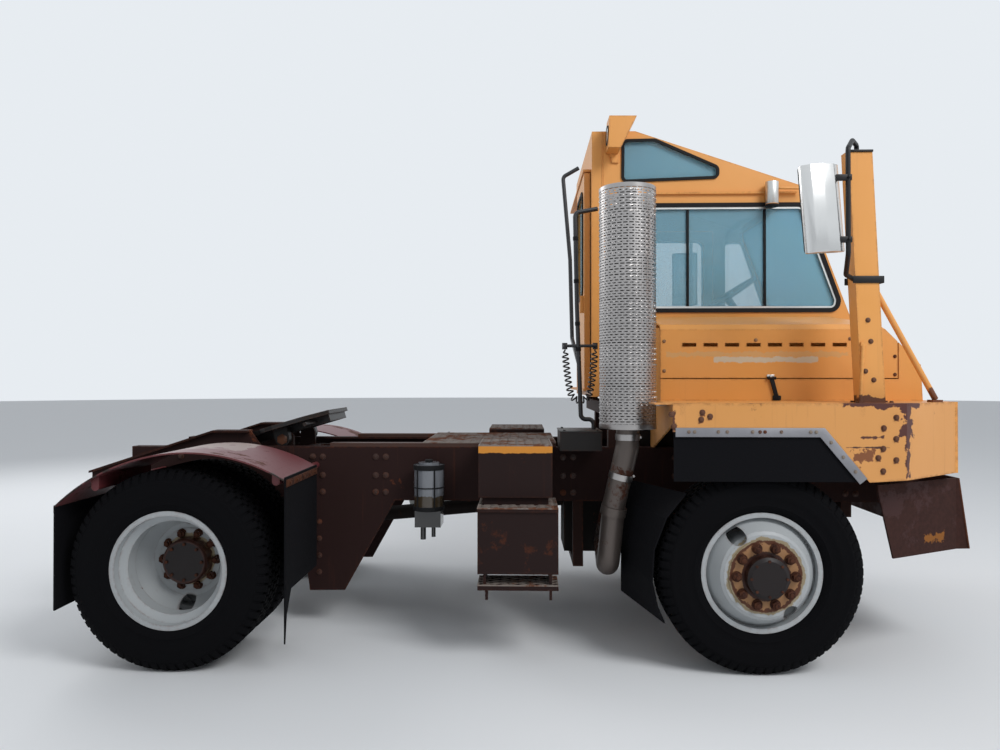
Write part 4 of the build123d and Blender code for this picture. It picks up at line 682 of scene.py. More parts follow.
# Front deck, skirts and bright edge strip
# Bent plate in the cab's colour, rusted through its lower corner and along every edge. An aluminium angle is
# bolted along the wheel opening, and the skirts hang on hexagon bolts with rust around each.
skirt_bolts = [(0.825, 1.301), (0.976, 1.311), (0.970, 1.276), (1.013, 1.291), (0.836, 1.243), (1.851, 1.236),
               (1.911, 1.287), (1.910, 1.184), (1.848, 1.136), (1.910, 1.081), (1.847, 1.027), (1.824, 1.091)]
skirt_paint = worn_paint("front_deck_paint", (0.64, 0.285, 0.070), chips=0.16, edges=0.7, runs=0.22)
for x, z in skirt_bolts:
    patch(skirt_paint, (0.20, 0.062, 0.018), (x - 0.011, -1.24, z - 0.018), (x + 0.011, -1.20, z + 0.010), 0.004, 60)
# Rust patches of the right skirt: colour, start and end along the deck, inner face, heights, raggedness, grain
for colour, start, end, inner, foot, head, ragged, grain in (
        ((0.15, 0.045, 0.016), 0.82, 1.7, -1.19, 1.357, 1.37, 0.008, 9),
        ((0.085, 0.026, 0.020), 1.66, 2.06, -1.10, 1.338, 1.37, 0.024, 13),
        ((0.085, 0.026, 0.020), 1.935, 2.000, -1.15, 1.20, 1.37, 0.030, 17),
        ((0.085, 0.026, 0.020), 1.958, 1.980, -1.15, 1.00, 1.37, 0.020, 30),
        ((0.060, 0.022, 0.018), 1.67, 1.88, -1.19, 1.138, 1.144, 0.005, 30),
        ((0.090, 0.030, 0.020), 1.74, 1.85, -1.19, 1.186, 1.196, 0.010, 26),
        ((0.22, 0.075, 0.026), 1.70, 1.80, -1.19, 1.07, 1.12, 0.028, 20),
        ((0.10, 0.032, 0.018), 0.82, 0.845, -1.19, 1.20, 1.31, 0.022, 22)):
    patch(skirt_paint, colour, (start, -1.24, foot), (end, inner, head), ragged, grain)
coat_node("front_fenders", skirt_paint)
skirt_face, strip_thickness = 1.2222, 0.004
edge_strip = [(0.845, 1.236), (1.567, 1.236), (1.770, 0.990), (1.735, 0.962), (1.545, 1.191), (0.845, 1.191)]
strip_bolts = [(x, 1.216) for x in (0.909, 0.937, 1.052, 1.095, 1.218, 1.254, 1.278, 1.357, 1.498, 1.525)]
strip_bolts += [(1.557 + share * 0.195, 1.213 - share * 0.237) for share in (0.2, 0.5, 0.8)]
heads, strips, small_heads = bmesh.new(), bmesh.new(), bmesh.new()
for sign in (-1, 1):
    for x, z in skirt_bolts:
        bolt(heads, (x, sign * 1.222, z), (0, sign, 0), 0.010, 0.008)
    slab(strips, [(x, sign * skirt_face, z) for x, z in edge_strip], (0, sign * strip_thickness, 0), 0.001)
    for x, z in strip_bolts:
        bolt(small_heads, (x, sign * (skirt_face + strip_thickness), z), (0, sign, 0), 0.006, 0.004)
finish_piece(heads, "skirt_bolts", worn_paint("skirt_bolt_rust", (0.10, 0.035, 0.014), chips=0.6), "chassis")
finish_piece(strips, "skirt_edge_strips", plain_finish("dull_aluminium", (0.26, 0.26, 0.28), 0.5, metallic=0.4,
                                                       shade=0.35), "chassis")
finish_piece(small_heads, "skirt_strip_bolts", worn_paint("strip_bolt_steel", (0.22, 0.18, 0.14), chips=0.5),
             "chassis")

# Front apron and headlamps
# Flat plate with two stacks of cooling slots between the corner plates. Each round sealed headlamp sits in a
# black bezel ring, and the cab's two hinges stand on the plate's top edge.
lens_radius, rib_spacing = 0.074, 0.011
coat_node("front_apron", worn_paint("front_apron_paint", cab_orange, chips=0.15, edges=0.6, runs=0.15))
coat_node("head_lamps", lamp_glass("headlamp_lens", (0.55, 0.60, 0.62)))
bezel, ribs = bmesh.new(), bmesh.new()
for y in (-0.68, 0.68):
    ring(bezel, (2.408, y, 1.18), (1, 0, 0), 0.086, 0.012)
    for step in range(-6, 7):
        rib_y = y + step * rib_spacing
        half = math.sqrt(lens_radius ** 2 - (step * rib_spacing) ** 2)
        bar(ribs, (2.4135, rib_y, 1.18 - half), (2.4135, rib_y, 1.18 + half), 0.0035, 8)
finish_piece(bezel, "headlamp_bezels", rubber_black, "chassis")
finish_piece(ribs, "headlamp_lens_ribs", lamp_glass("headlamp_rib_glass", (0.66, 0.70, 0.72)), "chassis")

# Push bumper
# Thick brown-rusted plate with swept ends, welded from five pieces and bolted to the rail ends.
# A few flakes of the old orange paint are left on it.
bumper_paint = worn_paint("bumper_rust", (0.040, 0.0130, 0.0115), rust=(0.024, 0.009, 0.007), chips=0.9,
                          edges=0.9, runs=0.4, gloss=0.68, specular=0.25)
patch(bumper_paint, (0.24, 0.09, 0.02), (2.20, -1.0, 0.62), (2.34, -0.80, 0.66), 0.02, 22)
coat_node("front_bumper", bumper_paint)
welds = bmesh.new()
for sign in (-1, 1):
    bar(welds, (2.446, sign * 0.8015, 0.94), (2.4985, sign * 0.8025, 0.566), 0.005, 10)
    for z in (0.64, 0.74, 0.84):
        bolt(welds, (2.452 + (0.942 - z) * 0.15, sign * 0.44, z), (0.99, 0, 0.15), 0.014, 0.010)
finish_piece(welds, "bumper_welds_and_bolts", worn_paint("weld_rust", (0.055, 0.020, 0.011), chips=0.9),
             "chassis")

# Frame rails, crossmembers and axles
# Channel rails of heavy plate, brown with rust over worn red-brown paint. The gussets and crossmembers are
# bolted and welded on. The axles and springs are black with grease and road dirt.
greasy_black = (0.010, 0.006, 0.005)
for part, tone in (("frame_rails", rust_brown), ("frame_crossmembers", (0.024, 0.0085, 0.006)),
                   ("rear_axle", greasy_black), ("front_axle", greasy_black), ("knuckle_left", greasy_black),
                   ("knuckle_right", greasy_black), ("tie_rod", (0.012, 0.008, 0.006)),
                   ("driveshaft", greasy_black), ("engine", (0.009, 0.007, 0.006))):
    coat_node(part, worn_paint(f"{part}_rust", tone, rust=(0.075, 0.022, 0.010), chips=0.25, edges=0.6, runs=0.30,
                               gloss=0.72, specular=0.2))
bolts = bmesh.new()
for sign in (-1, 1):
    for x in (-2.10, -1.96, -1.16, -1.10, -0.78, -0.72, 0.34, 0.40, 1.0, 1.62, 1.68, 2.0, 2.06):
        for z in (0.80, 0.90, 1.01):
            bolt(bolts, (x, sign * 0.430, z), (0, sign, 0), 0.013, 0.010)
    for z in (0.32, 0.42, 0.52, 0.62):
        bolt(bolts, (-1.12, sign * 0.430, z), (0, sign, 0), 0.012, 0.009)
finish_piece(bolts, "frame_bolts", worn_paint("frame_bolt_rust", (0.035, 0.013, 0.008), chips=0.6), "chassis")


# Perforated stack guard
# A tube of bright stainless sheet around the silencer, punched with staggered level slots, between a rolled
# collar at the top and a plain floor ring. It stands on a lug of the deck.
def lathe(shape, centre, axis, profile, steps=48, closed=True):
    """Spin a table of (radius, height along the axis) about an axis through a centre."""
    centre, axis = Vector(centre), Vector(axis).normalized()
    place = Matrix.Translation(centre) @ axis.to_track_quat("Z", "Y").to_matrix().to_4x4()
    verts = [shape.verts.new(place @ Vector((radius, 0, height))) for radius, height in profile]
    edges = [shape.edges.new(pair) for pair in zip(verts, verts[1:] + verts[:1] * closed)]
    bmesh.ops.spin(shape, geom=[*verts, *edges], cent=centre, axis=axis, angle=2 * math.pi, steps=steps,
                   use_merge=True)
    bmesh.ops.remove_doubles(shape, verts=list(shape.verts), dist=1e-6)
    bmesh.ops.recalc_face_normals(shape, faces=list(shape.faces))


steel_bright = plain_finish("guard_stainless", (0.42, 0.40, 0.39), 0.30, metallic=1.0, grain=30, shade=0.22)
stack_x, stack_y, guard_radius, guard_foot, guard_top = 0.66, -0.88, 0.1495, 1.232, 2.478
slots_round, slot_rows, slot_border = 30, 88, 0.0042
row_height = (guard_top - guard_foot) / slot_rows
guard_round = 2 * math.pi * guard_radius
guard = bmesh.new()
for row in range(slot_rows):
    strip = bmesh.ops.create_grid(guard, x_segments=slots_round, y_segments=1, size=0.5)["verts"]
    for vert in strip:
        vert.co = (vert.co.x * guard_round, 0, guard_foot + (row + 0.5 + vert.co.y) * row_height)
    guard.normal_update()
    slots = list({face for vert in strip for face in vert.link_faces})
    bmesh.ops.inset_individual(guard, faces=slots, thickness=slot_border, use_even_offset=True)
    bmesh.ops.delete(guard, geom=slots, context="FACES")
for vert in guard.verts:
    row = round((vert.co.z - guard_foot) / row_height - 0.5)
    angle = vert.co.x / guard_radius + row % 2 * math.pi / slots_round
    vert.co = (stack_x + guard_radius * math.cos(angle), stack_y + guard_radius * math.sin(angle), vert.co.z)
bmesh.ops.remove_doubles(guard, verts=list(guard.verts), dist=1e-5)
perforated_guard = finish_piece(guard, "perforated_stack_guard", steel_bright, "chassis")
sheet_wall = perforated_guard.modifiers.new("sheet_wall", "SOLIDIFY")
sheet_wall.thickness = 0.003
sheet_wall.offset = -1
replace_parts(perforated_guard, "stack_guard")
collars = bmesh.new()
for foot, profile in ((2.470, [(0.146, 0), (0.1515, 0.002), (0.152, 0.022), (0.149, 0.025), (0.145, 0.022)]),
                      (1.211, [(0.063, 0), (0.1495, 0), (0.1515, 0.004), (0.1515, 0.028), (0.146, 0.030),
                               (0.145, 0.008), (0.063, 0.008)])):
    lathe(collars, (stack_x, stack_y, foot), (0, 0, 1), profile, 64)
block(collars, (0.800, -0.910, 1.331), (0.860, -0.850, 1.3485), 0.003)
finish_piece(collars, "stack_guard_collars", steel_bright, "chassis")

# Exhaust
# A silencer inside the guard with a pipe that drops from it, bends inwards and joins the engine.
# The pipe is heat-tinted steel, brown at its bends, held by band clamps with one bolt each.
pipe_steel = worn_paint("exhaust_steel", (0.115, 0.095, 0.085), rust=(0.055, 0.022, 0.014), chips=0.5, edges=0.2,
                        runs=0.35, gloss=0.40)
feed(pipe_steel.node_tree.nodes["Principled BSDF"], {"Metallic": 0.6})
# The silencer inside the guard is painted near black: painted shade for the dark inside of the perforated guard
patch(pipe_steel, (0.022, 0.017, 0.014), (0.4, -1.1, 1.25), (0.9, -0.7, 2.52), 0.01, 20)
coat_node("exhaust_pipe", pipe_steel)
clamps = bmesh.new()
for x, y, z, axis in ((0.66, -0.88, 1.165, (0, 0, 1)), (0.6255, -0.8650, 0.955, (0.21, -0.09, 0.97))):
    lathe(clamps, (x, y, z), axis, [(0.0625, -0.016), (0.066, -0.016), (0.066, 0.016), (0.0625, 0.016)], 40)
    bar(clamps, (x + 0.066, y - 0.02, z), (x + 0.066, y + 0.02, z), 0.007, 12, bevel=0.001)
finish_piece(clamps, "exhaust_clamps", steel_bright, "chassis")

# Mirror post and right mirror
# A square tube in the cab's colour stands on the deck with two round stays. The mirror is a stainless shell
# with a folded back, and a black tube bracket clamps it to the post.
post_paint = worn_paint("mirror_post_paint", cab_orange, chips=0.10, edges=0.5, runs=0.12)
patch(post_paint, (0.11, 0.038, 0.016), (1.77, -1.14, 1.34), (1.95, -0.96, 1.385), 0.02, 20)
patch(post_paint, (0.16, 0.055, 0.022), (2.19, -1.06, 1.34), (2.28, -0.93, 1.43), 0.02, 20)
coat_node("mirror_post", post_paint)
bolts = bmesh.new()
for x, z in ((1.834, 1.771), (1.848, 1.664), (1.821, 1.514), (1.862, 1.470)):
    bolt(bolts, (x, -1.095, z), (0, -1, 0))
for y in (-1.08, -1.02):
    for x in (1.787, 1.957):
        bolt(bolts, (x, y, 1.3555), (0, 0, 1))
finish_piece(bolts, "mirror_post_bolts", worn_paint("post_bolt_rust", (0.12, 0.05, 0.02), chips=0.6), "chassis")


def mirror_pieces(x, y, z, turn, side, body, lean=0.0):
    """Mirror head: folded stainless shell behind, rubber bead and glass in front. side is -1 right, +1 left."""
    place = (Matrix.Translation((x, y, z)) @ Matrix.Rotation(math.radians(-lean), 4, "Y")
             @ Matrix.Rotation(math.radians(turn), 4, "Z"))
    label = "right" if side < 0 else "left"

    def upright(half_width, half_height, out):
        return [place @ Vector((px, -side * out, pz)) for px, pz in (
            (-half_width, -half_height), (-half_width, half_height), (half_width, half_height),
            (half_width, -half_height))]

    shell = bmesh.new()
    outline = [(-0.100, -0.022), (-0.100, 0), (-0.062, 0.024), (0, 0.030), (0.062, 0.024), (0.100, 0),
               (0.100, -0.022)]
    slab(shell, [place @ Vector((px, side * py, -0.213)) for px, py in outline],
         place.to_3x3() @ Vector((0, 0, 0.426)), 0.004)
    head = finish_piece(shell, f"mirror_shell_{label}", plain_finish(
        f"mirror_stainless_{label}", (0.72, 0.72, 0.71), 0.22, metallic=0.85, shade=0.08, bump=0.02),
        body, 20)
    bead = bmesh.new()
    window_seal(bead, upright(0.098, 0.211, 0.0225), 0.018, 0.001, 0.012, place.to_3x3() @ Vector((0, -side, 0)),
                0.006)
    finish_piece(bead, f"mirror_bead_{label}", rubber_black, body)
    pane = bmesh.new()
    slab(pane, upright(0.090, 0.203, 0.0222), place.to_3x3() @ Vector((0, -side * 0.003, 0)), 0.001)
    finish_piece(pane, f"mirror_glass_{label}", plain_finish(
        f"mirror_silver_{label}", (0.80, 0.82, 0.83), 0.10, metallic=1.0, shade=0.03, bump=0.0),
        body)
    return head


bracket_black = plain_finish("bracket_black", (0.008, 0.008, 0.009), 0.45, grain=50, specular=0.3)


def mirror_bracket(name, points, radius, body, bend):
    """Round black tube along straight runs with rounded corners."""
    path = [Vector(point) for point in points]
    line = [path[0]]
    for before, here, after in zip(path, path[1:], path[2:]):
        first, second = (before - here).normalized(), (after - here).normalized()
        cut = min(bend / math.tan(first.angle(second) / 2), (before - here).length * 0.45,
                  (after - here).length * 0.45)
        for share in (0.0, 0.25, 0.5, 0.75, 1.0):
            line.append((here + first * cut) * (1 - share) ** 2 + here * 2 * share * (1 - share)
                        + (here + second * cut) * share ** 2)
    tube = add_object(name, draw_curve(name, [*line, path[-1]], "POLY", radius, 4))
    tube.data.materials.append(bracket_black)
    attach(tube, body)


mirror_half_depth = 0.0465
right_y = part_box("mirror_right")[0][1] + mirror_half_depth
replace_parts(mirror_pieces(1.548, right_y, 2.298, 11.5, -1, "chassis", 4.5), "mirror_right")
mirror_bracket("mirror_bracket_right", [
    (1.800, -1.050, 2.620), (1.800, -1.050, 2.665), (1.735, -1.150, 2.660), (1.670, right_y, 2.590),
    (1.670, right_y, 2.080), (1.710, -1.130, 1.995), (1.790, -1.060, 1.975)], 0.012, "chassis", 0.03)
clamps = bmesh.new()
for z in (2.148, 2.448):
    block(clamps, (1.610, right_y - 0.010, z - 0.015), (1.686, right_y + 0.008, z + 0.015), 0.003)
    bar(clamps, (1.670, right_y - 0.022, z), (1.670, right_y - 0.008, z), 0.007, 6, bevel=0.001)
block(clamps, (1.758, -1.102, 1.957), (1.912, -1.0975, 1.993), 0.003)
block(clamps, (1.758, -1.0025, 1.957), (1.912, -0.998, 1.993), 0.003)
block(clamps, (1.908, -1.102, 1.957), (1.914, -0.998, 1.993), 0.002)
block(clamps, (1.745, -1.102, 2.618), (1.862, -0.998, 2.6305), 0.003)
finish_piece(clamps, "mirror_clamps_right", bracket_black, "chassis")

# Left mirror
# The same stainless head with its rubber bead and glass, on a loop of black tube.
# The loop is bolted to the left door at both ends.
left_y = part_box("mirror_left")[1][1] - mirror_half_depth
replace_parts(mirror_pieces(1.425, left_y, 2.290, -11.5, 1, "left_door"), "mirror_left")
mirror_bracket("mirror_bracket_left", [
    (1.470, 1.101, 2.610), (1.470, left_y - 0.030, 2.610), (1.470, left_y - 0.030, 1.800), (1.470, 1.101, 1.800)],
    0.013, "left_door", 0.04)
clamps = bmesh.new()
block(clamps, (1.440, left_y - 0.046, 2.270), (1.492, left_y - 0.014, 2.310), 0.004)
for z in (1.800, 2.610):
    bar(clamps, (1.470, 1.0995, z), (1.470, 1.106, z), 0.030, 24, bevel=0.002)
finish_piece(clamps, "mirror_clamps_left", bracket_black, "left_door")

# Tyres
# Worn radial truck tyres, 1.02 m across, with deep shoulder lugs and four inner rows of blocks.
# They are dull black-grey rubber, seated on the rims.
front_axle_x, rear_axle_x, axle_height = 1.285, -1.685, 0.510
tyre_rubber = plain_finish("tyre_rubber", (0.0028, 0.0028, 0.0036), 0.88, grain=70, bump=0.25, shade=0.35,
                           specular=0.09)
half_wall = [(0.287, 0.1035), (0.301, 0.1045), (0.309, 0.117), (0.330, 0.126), (0.338, 0.1305), (0.346, 0.1275),
             (0.380, 0.1375), (0.392, 0.1395), (0.404, 0.1385), (0.440, 0.1350), (0.448, 0.1360),
             (0.456, 0.1320), (0.480, 0.1150), (0.4925, 0.1040), (0.4945, 0.05)]
lug = [(0.488, 0.086), (0.5082, 0.086), (0.5045, 0.0985), (0.4965, 0.1100), (0.4770, 0.1230), (0.4590, 0.1320),
       (0.4570, 0.1240), (0.4770, 0.1120)]
# Edges of each row of blocks across the tread, and how far the row is shifted around it
tread_rows = [(-0.082, -0.050, 0.018), (-0.042, -0.006, 0), (0.006, 0.042, 0.018), (0.050, 0.082, 0)]
block_foot, block_top, tread_pitches = 0.490, 0.5098, 66
one_tyre, tread = bmesh.new(), bmesh.new()
lathe(one_tyre, (0, 0, 0), (0, 1, 0), half_wall + [(r, -y) for r, y in reversed(half_wall)] + [(0.287, 0)], 96)
for sign in (-1, 1):
    slab(tread, [(0, sign * y, r) for r, y in lug], (0.034, 0, 0), 0.0018)
for y0, y1, shift in tread_rows:
    slab(tread, [(shift, y0, block_foot), (shift, y1, block_foot), (shift, y1, block_top), (shift, y0, block_top)],
         (0.036, 0, 0), 0.0015)
for vert in tread.verts:
    angle = vert.co.x / 0.5
    vert.co = (vert.co.z * math.sin(angle), vert.co.y, vert.co.z * math.cos(angle))
bmesh.ops.recalc_face_normals(tread, faces=list(tread.faces))
bmesh.ops.spin(tread, geom=list(tread.faces), cent=(0, 0, 0), axis=(0, 1, 0),
               angle=2 * math.pi * (1 - 1 / tread_pitches), steps=tread_pitches - 1, use_duplicate=True)
join_into(one_tyre, tread)
tyre_mesh = bpy.data.meshes.new("tyre")
one_tyre.to_mesh(tyre_mesh)
one_tyre.free()
# CAD node, body, axle and the middle of each tyre across the vehicle
for node, body, x, middles in (("front_tyre_left", "front_wheel_left", front_axle_x, (1.040,)),
                               ("front_tyre_right", "front_wheel_right", front_axle_x, (-1.040,)),
                               ("rear_tyres_left", "rear_wheels_left", rear_axle_x, (1.075, 0.741)),
                               ("rear_tyres_right", "rear_wheels_right", rear_axle_x, (-1.075, -0.741))):
    tyres = bmesh.new()
    for y in middles:
        first = len(tyres.verts)
        tyres.from_mesh(tyre_mesh)
        tyres.verts.ensure_lookup_table()
        bmesh.ops.translate(tyres, verts=tyres.verts[first:], vec=(x, y, axle_height))
    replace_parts(finish_piece(tyres, f"treaded_{node}", tyre_rubber, body, 40), node)


# Wheel rims, nuts and hubs
# White-painted steel disc wheels, streaked and rusted around the hub and along the flanges, held by ten
# hexagon flange nuts. The hubs and nuts are bare and brown with rust.
def around(count, radius, x, y):
    """Points on a circle about a wheel's axis."""
    for index in range(count):
        angle = 2 * math.pi * index / count
        yield Vector((x + radius * math.cos(angle), y, axle_height + radius * math.sin(angle)))


rim_rust = (0.085, 0.026, 0.010)
for node, x, radius in (("front_rim_left", front_axle_x, 0.176), ("front_rim_right", front_axle_x, 0.176),
                        ("rear_rims_left", rear_axle_x, 0.124), ("rear_rims_right", rear_axle_x, 0.124)):
    rim_paint = worn_paint(f"{node}_paint", (0.36, 0.38, 0.39), rust=rim_rust, chips=0.12, edges=0.5, runs=0.22,
                           scale=9, specular=0.3)
    for colour, reach_out, ragged, grain in (
            ((0.30, 0.24, 0.15), radius + 0.014, 0.010, 22), (rim_rust, radius, 0.005, 40),
            ((0.33, 0.17, 0.075), radius - 0.016, 0.012, 30), ((0.040, 0.013, 0.008), 0.120, 0.005, 40),
            ((0.010, 0.006, 0.006), 0.103, 0.003, 40)):
        patch(rim_paint, colour, (x, 0, axle_height), reach_out, ragged, grain, radial=True)
    coat_node(node, rim_paint)
nut_rust = worn_paint("wheel_nut_rust", (0.070, 0.022, 0.009), rust=(0.025, 0.010, 0.007), chips=0.6, gloss=0.7,
                      scale=30, specular=0.2)
stud_circle = 0.1429
# Axle, body, seat of the nuts across; hub cap bolts: circle, seat across, height and radius
for axle, body, x, seat, circle, cap_seat, height, radius in (
        ("front", "front_wheel", front_axle_x, 1.213, 0.086, 1.267, 0.008, 0.0075),
        ("rear", "rear_wheels", rear_axle_x, 0.920, 0.094, 0.9995, 0.009, 0.009)):
    for side, sign in (("left", 1), ("right", -1)):
        nuts = bmesh.new()
        out = Vector((0, sign, 0))
        for foot in around(10, stud_circle, x, sign * seat):
            bar(nuts, foot, foot + out * 0.007, 0.0262, 20, bevel=0.0012)
            bar(nuts, foot + out * 0.006, foot + out * 0.0285, 0.0212, 6, bevel=0.002)
            bar(nuts, foot + out * 0.027, foot + out * 0.037, 0.0105, 12, bevel=0.001)
        for foot in around(8, circle, x, sign * cap_seat):
            bar(nuts, foot, foot + out * height, radius, 6, bevel=0.0008)
        finish_piece(nuts, f"wheel_nuts_{axle}_{side}", nut_rust, f"{body}_{side}")

# Rear fenders and rubber flaps
# Rolled sheet over the twin wheels, dark maroon with its paint worn away on the crown. Black rubber flaps hang
# from its ends and behind the front wheels, clamped by steel strips with bolts.
fender_paint = worn_paint("rear_fender_paint", (0.120, 0.024, 0.028), rust=(0.055, 0.020, 0.013), chips=0.45,
                          edges=0.8, runs=0.2)
patch(fender_paint, (0.27, 0.19, 0.17), (-1.88, -1.0, 1.075), (-1.40, -0.60, 1.12), 0.03, 10)
patch(fender_paint, (0.030, 0.018, 0.015), (-2.26, -1.3, 0.80), (-1.06, -1.216, 1.02), 0.02, 12)
coat_node("rear_fenders", fender_paint)
coat_node("rubber_flaps", plain_finish("flap_rubber", (0.0032, 0.0032, 0.0045), 0.84, grain=20, bump=0.35,
                                       shade=0.4, specular=0.12))
strips, bolts = bmesh.new(), bmesh.new()
for middle in (-0.930, 0.930):
    block(strips, (-2.256, middle - 0.28, 0.800), (-2.250, middle + 0.28, 0.838), 0.002)
    block(strips, (-1.0795, middle - 0.28, 0.935), (-1.0735, middle + 0.28, 0.972), 0.002)
    for step in range(5):
        y = middle - 0.23 + step * 0.115
        bolt(bolts, (-2.256, y, 0.819), (-1, 0, 0), 0.008, 0.006)
        bolt(bolts, (-1.0735, y, 0.953), (1, 0, 0), 0.008, 0.006)
finish_piece(strips, "flap_clamp_strips", nut_rust, "chassis")
finish_piece(bolts, "flap_clamp_bolts", nut_rust, "chassis")


# Step boxes
# Two welded boxes one above the other on each side, brown with rust, with an orange band along the top and
# treads of expanded metal that stand on bars.
def grating(shape, low, high, cell=0.045, strand=0.0042, height=0.005):
    """Expanded metal: a turned grid cut to a rectangle, each diamond opened, then thickened."""
    count = int(max(high[0] - low[0], high[1] - low[1]) * 1.6 / cell)
    middle = Vector(((low[0] + high[0]) / 2, (low[1] + high[1]) / 2, low[2]))
    place = Matrix.Translation(middle) @ Matrix.Diagonal((1.5, 0.75, 1, 1)) @ Matrix.Rotation(math.pi / 4, 4, "Z")
    sheet = bmesh.new()
    bmesh.ops.create_grid(sheet, x_segments=count * 2, y_segments=count * 2, size=count * cell, matrix=place)
    for axis, sign, edge in ((0, -1, low[0]), (0, 1, high[0]), (1, -1, low[1]), (1, 1, high[1])):
        normal, spot = Vector((0, 0, 0)), Vector((0, 0, 0))
        normal[axis], spot[axis] = sign, edge
        bmesh.ops.bisect_plane(sheet, geom=[*sheet.verts, *sheet.edges, *sheet.faces], plane_co=spot,
                               plane_no=normal, clear_outer=True)
    cells = [face for face in sheet.faces if face.calc_area() > cell * cell * 0.25]
    bmesh.ops.inset_individual(sheet, faces=cells, thickness=strand, use_even_offset=True)
    bmesh.ops.delete(sheet, geom=cells, context="FACES")
    thicken(sheet, list(sheet.faces), (0, 0, height))
    bmesh.ops.recalc_face_normals(sheet, faces=list(sheet.faces))
    join_into(shape, sheet)


step_paint = worn_paint("step_box_rust", (0.014, 0.0052, 0.0046), rust=(0.036, 0.012, 0.007), chips=0.4,
                        edges=0.7, runs=0.3, gloss=0.7, specular=0.2)
treads = bmesh.new()
for sign in (-1, 1):
    near, far = sorted((sign * 0.97, sign * 0.95))
    patch(step_paint, (0.62, 0.25, 0.04), (-0.14, near, 1.085), (0.26, far, 1.13), 0.004, 30)
    # Inner and outer edge of each tread, its ends along the vehicle and its height
    for inner, outer, start, end, z in ((0.702, 1.062, -0.137, 0.282, 0.8062), (0.862, 1.062, -0.135, 0.282, 0.4122),
                                        (0.470, 0.960, -0.135, 0.255, 1.1202)):
        near, far = sorted((sign * inner, sign * outer))
        grating(treads, (start, near, z), (end, far, z))
coat_node("step_boxes", step_paint)
grate_metal = worn_paint("grate_metal", (0.20, 0.17, 0.15), rust=(0.09, 0.035, 0.018), chips=0.6, edges=0.3,
                         gloss=0.55)
finish_piece(treads, "step_treads", grate_metal, "chassis")

# Walkway and air line box
# Galvanized expanded metal on plates bolted over the rails, and a dark steel box behind the cab whose lid is
# held by four bolts.
coat_node("deck_plates", worn_paint("walkway_plate", (0.05, 0.021, 0.014), chips=0.5, edges=0.6, gloss=0.65))
coat_node("platform_box", worn_paint("air_box_paint", (0.012, 0.009, 0.008), chips=0.3, edges=0.5, gloss=0.5,
                                     specular=0.3))
walkway = bmesh.new()
grating(walkway, (-0.500, -0.430, 1.0921), (0.300, 0.430, 1.0921), cell=0.055)
finish_piece(walkway, "walkway_grating", grate_metal, "chassis")
box_lid = bmesh.new()
block(box_lid, (0.306, -0.684, 1.1765), (0.549, -0.366, 1.1825), 0.002)
for x in (0.335, 0.520):
    for y in (-0.655, -0.395):
        bolt(box_lid, (x, y, 1.1825), (0, 0, 1), 0.007, 0.005)
finish_piece(box_lid, "air_box_lid", plain_finish("lid_black", (0.02, 0.019, 0.018), 0.5), "chassis")

# Fuel tank
# A round aluminium tank in two steel straps on the left rail.
# Its black filler cap is screwed on and has a grip bar.
coat_node("fuel_tank", plain_finish("tank_aluminium", (0.52, 0.52, 0.50), 0.35, metallic=0.9, grain=25,
                                    shade=0.15))
tank_cap = bmesh.new()
lathe(tank_cap, (-0.450, 0.700, 1.0405), (0, 0, 1), [(0.0, 0), (0.049, 0), (0.052, 0.004), (0.052, 0.024),
                                                     (0.046, 0.030), (0.0, 0.030)], 36, closed=False)
block(tank_cap, (-0.4560, 0.655, 1.070), (-0.444, 0.745, 1.082), 0.003)
finish_piece(tank_cap, "fuel_tank_cap", bracket_black, "chassis")

# Grease pump
# A clear plastic grease reservoir between two black collars over a die-cast pump.
# Five thin rods tie the collars together, and a plate holds the pump to the rail.
pump_x, pump_y = -0.448, -0.535
pump_look = plain_finish("reservoir_plastic", (0.17, 0.18, 0.20), 0.22, grain=25, shade=0.35, coat=0.6)
patch(pump_look, (0.022, 0.021, 0.021), (-0.56, -0.66, 0.50), (-0.34, -0.42, 0.716), 0.002, 20)
patch(pump_look, (0.05, 0.035, 0.02), (-0.56, -0.66, 0.714), (-0.34, -0.42, 0.80), 0.01, 14)
coat_node("grease_pump", pump_look)
collars = bmesh.new()
for z, height in ((0.712, 0.026), (0.948, 0.030), (0.842, 0.008)):
    lathe(collars, (pump_x, pump_y, z), (0, 0, 1), [(0.0855, 0), (0.0905, 0.002), (0.0905, height - 0.002),
                                                    (0.0855, height)])
for angle in (0.4, 1.6, 2.8, 4.0, 5.2):
    x, y = pump_x + 0.089 * math.cos(angle), pump_y + 0.089 * math.sin(angle)
    bar(collars, (x, y, 0.714), (x, y, 0.976), 0.0045, 12)
bar(collars, (pump_x, pump_y, 0.989), (pump_x, pump_y, 1.006), 0.022, bevel=0.002)
finish_piece(collars, "grease_pump_collars", rubber_black, "chassis")

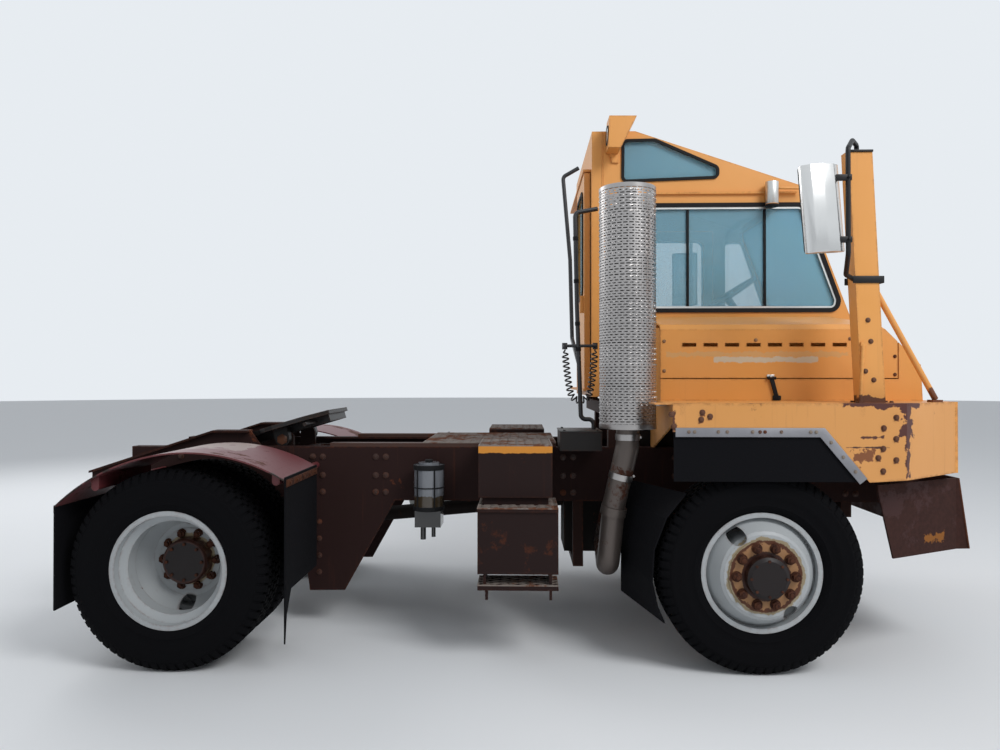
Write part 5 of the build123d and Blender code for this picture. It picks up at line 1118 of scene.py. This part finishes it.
# Boom, fifth wheel and lift cylinders
# Plate arms and a cast coupling plate, dark with old grease and worn bright where the trailer slides on.
# The cylinder rods are chromed.
coat_node("boom", worn_paint("boom_rust", (0.022, 0.009, 0.0065), chips=0.3, edges=0.6, runs=0.3, gloss=0.65,
                             specular=0.25))
coat_node("fifth_wheel", worn_paint("fifth_wheel_steel", (0.009, 0.008, 0.008), rust=(0.05, 0.022, 0.013),
                                    chips=0.2, edges=0.6, gloss=0.42, specular=0.35))
coat_node("lift_barrels", worn_paint("barrel_paint", (0.013, 0.009, 0.008), chips=0.3, edges=0.5))
coat_node("lift_rods", plain_finish("chrome_rod", (0.75, 0.75, 0.76), 0.12, metallic=1.0, shade=0.05, bump=0.0))
plate_tilt = math.radians(16.7)
plate_place = Matrix.Translation((-1.378, 0, 1.105)) @ Matrix.Rotation(-plate_tilt, 4, "Y")
buttons = bmesh.new()
for x, y in ((-0.10, 0.34), (-0.10, -0.34), (0.16, 0.33), (0.16, -0.33), (0.25, 0.12), (0.25, -0.12)):
    bar(buttons, plate_place @ Vector((x, y, 0.0945)), plate_place @ Vector((x, y, 0.0965)), 0.016, 24,
        bevel=0.0006)
for sign in (-1, 1):
    bar(buttons, plate_place @ Vector((0, sign * 0.324, 0)), plate_place @ Vector((0, sign * 0.334, 0)), 0.034, 6,
        bevel=0.002)
finish_piece(buttons, "fifth_wheel_buttons", grate_metal, "fifth_wheel")

# Tubes behind the cab and tail lamps
# Black bent tubes that carry the air lines up the cab's corner stand on the box behind the cab, wrapped with
# tape where the hoses are tied. Each red tail lamp sits in a rubber ring.
coat_node("hand_rails", plain_finish("rail_black", (0.008, 0.008, 0.010), 0.4, coat=0.3))
coat_node("tail_lamps", lamp_glass("red_lens", (0.36, 0.012, 0.010)))
ties = bmesh.new()
for x, z in ((0.4268, 1.65), (0.4215, 1.80), (0.4145, 2.05), (0.4100, 2.30)):
    lathe(ties, (x, -0.500, z), (-0.02, 0, 1), [(0.0128, -0.012), (0.0155, -0.010), (0.0155, 0.010),
                                                (0.0128, 0.012)], 24)
finish_piece(ties, "rail_tape", rubber_black, "chassis")
bezel = bmesh.new()
for y in (-0.300, 0.300):
    ring(bezel, (-2.284, y, 0.930), (-1, 0, 0), 0.056, 0.007)
finish_piece(bezel, "tail_lamp_bezels", rubber_black, "chassis")
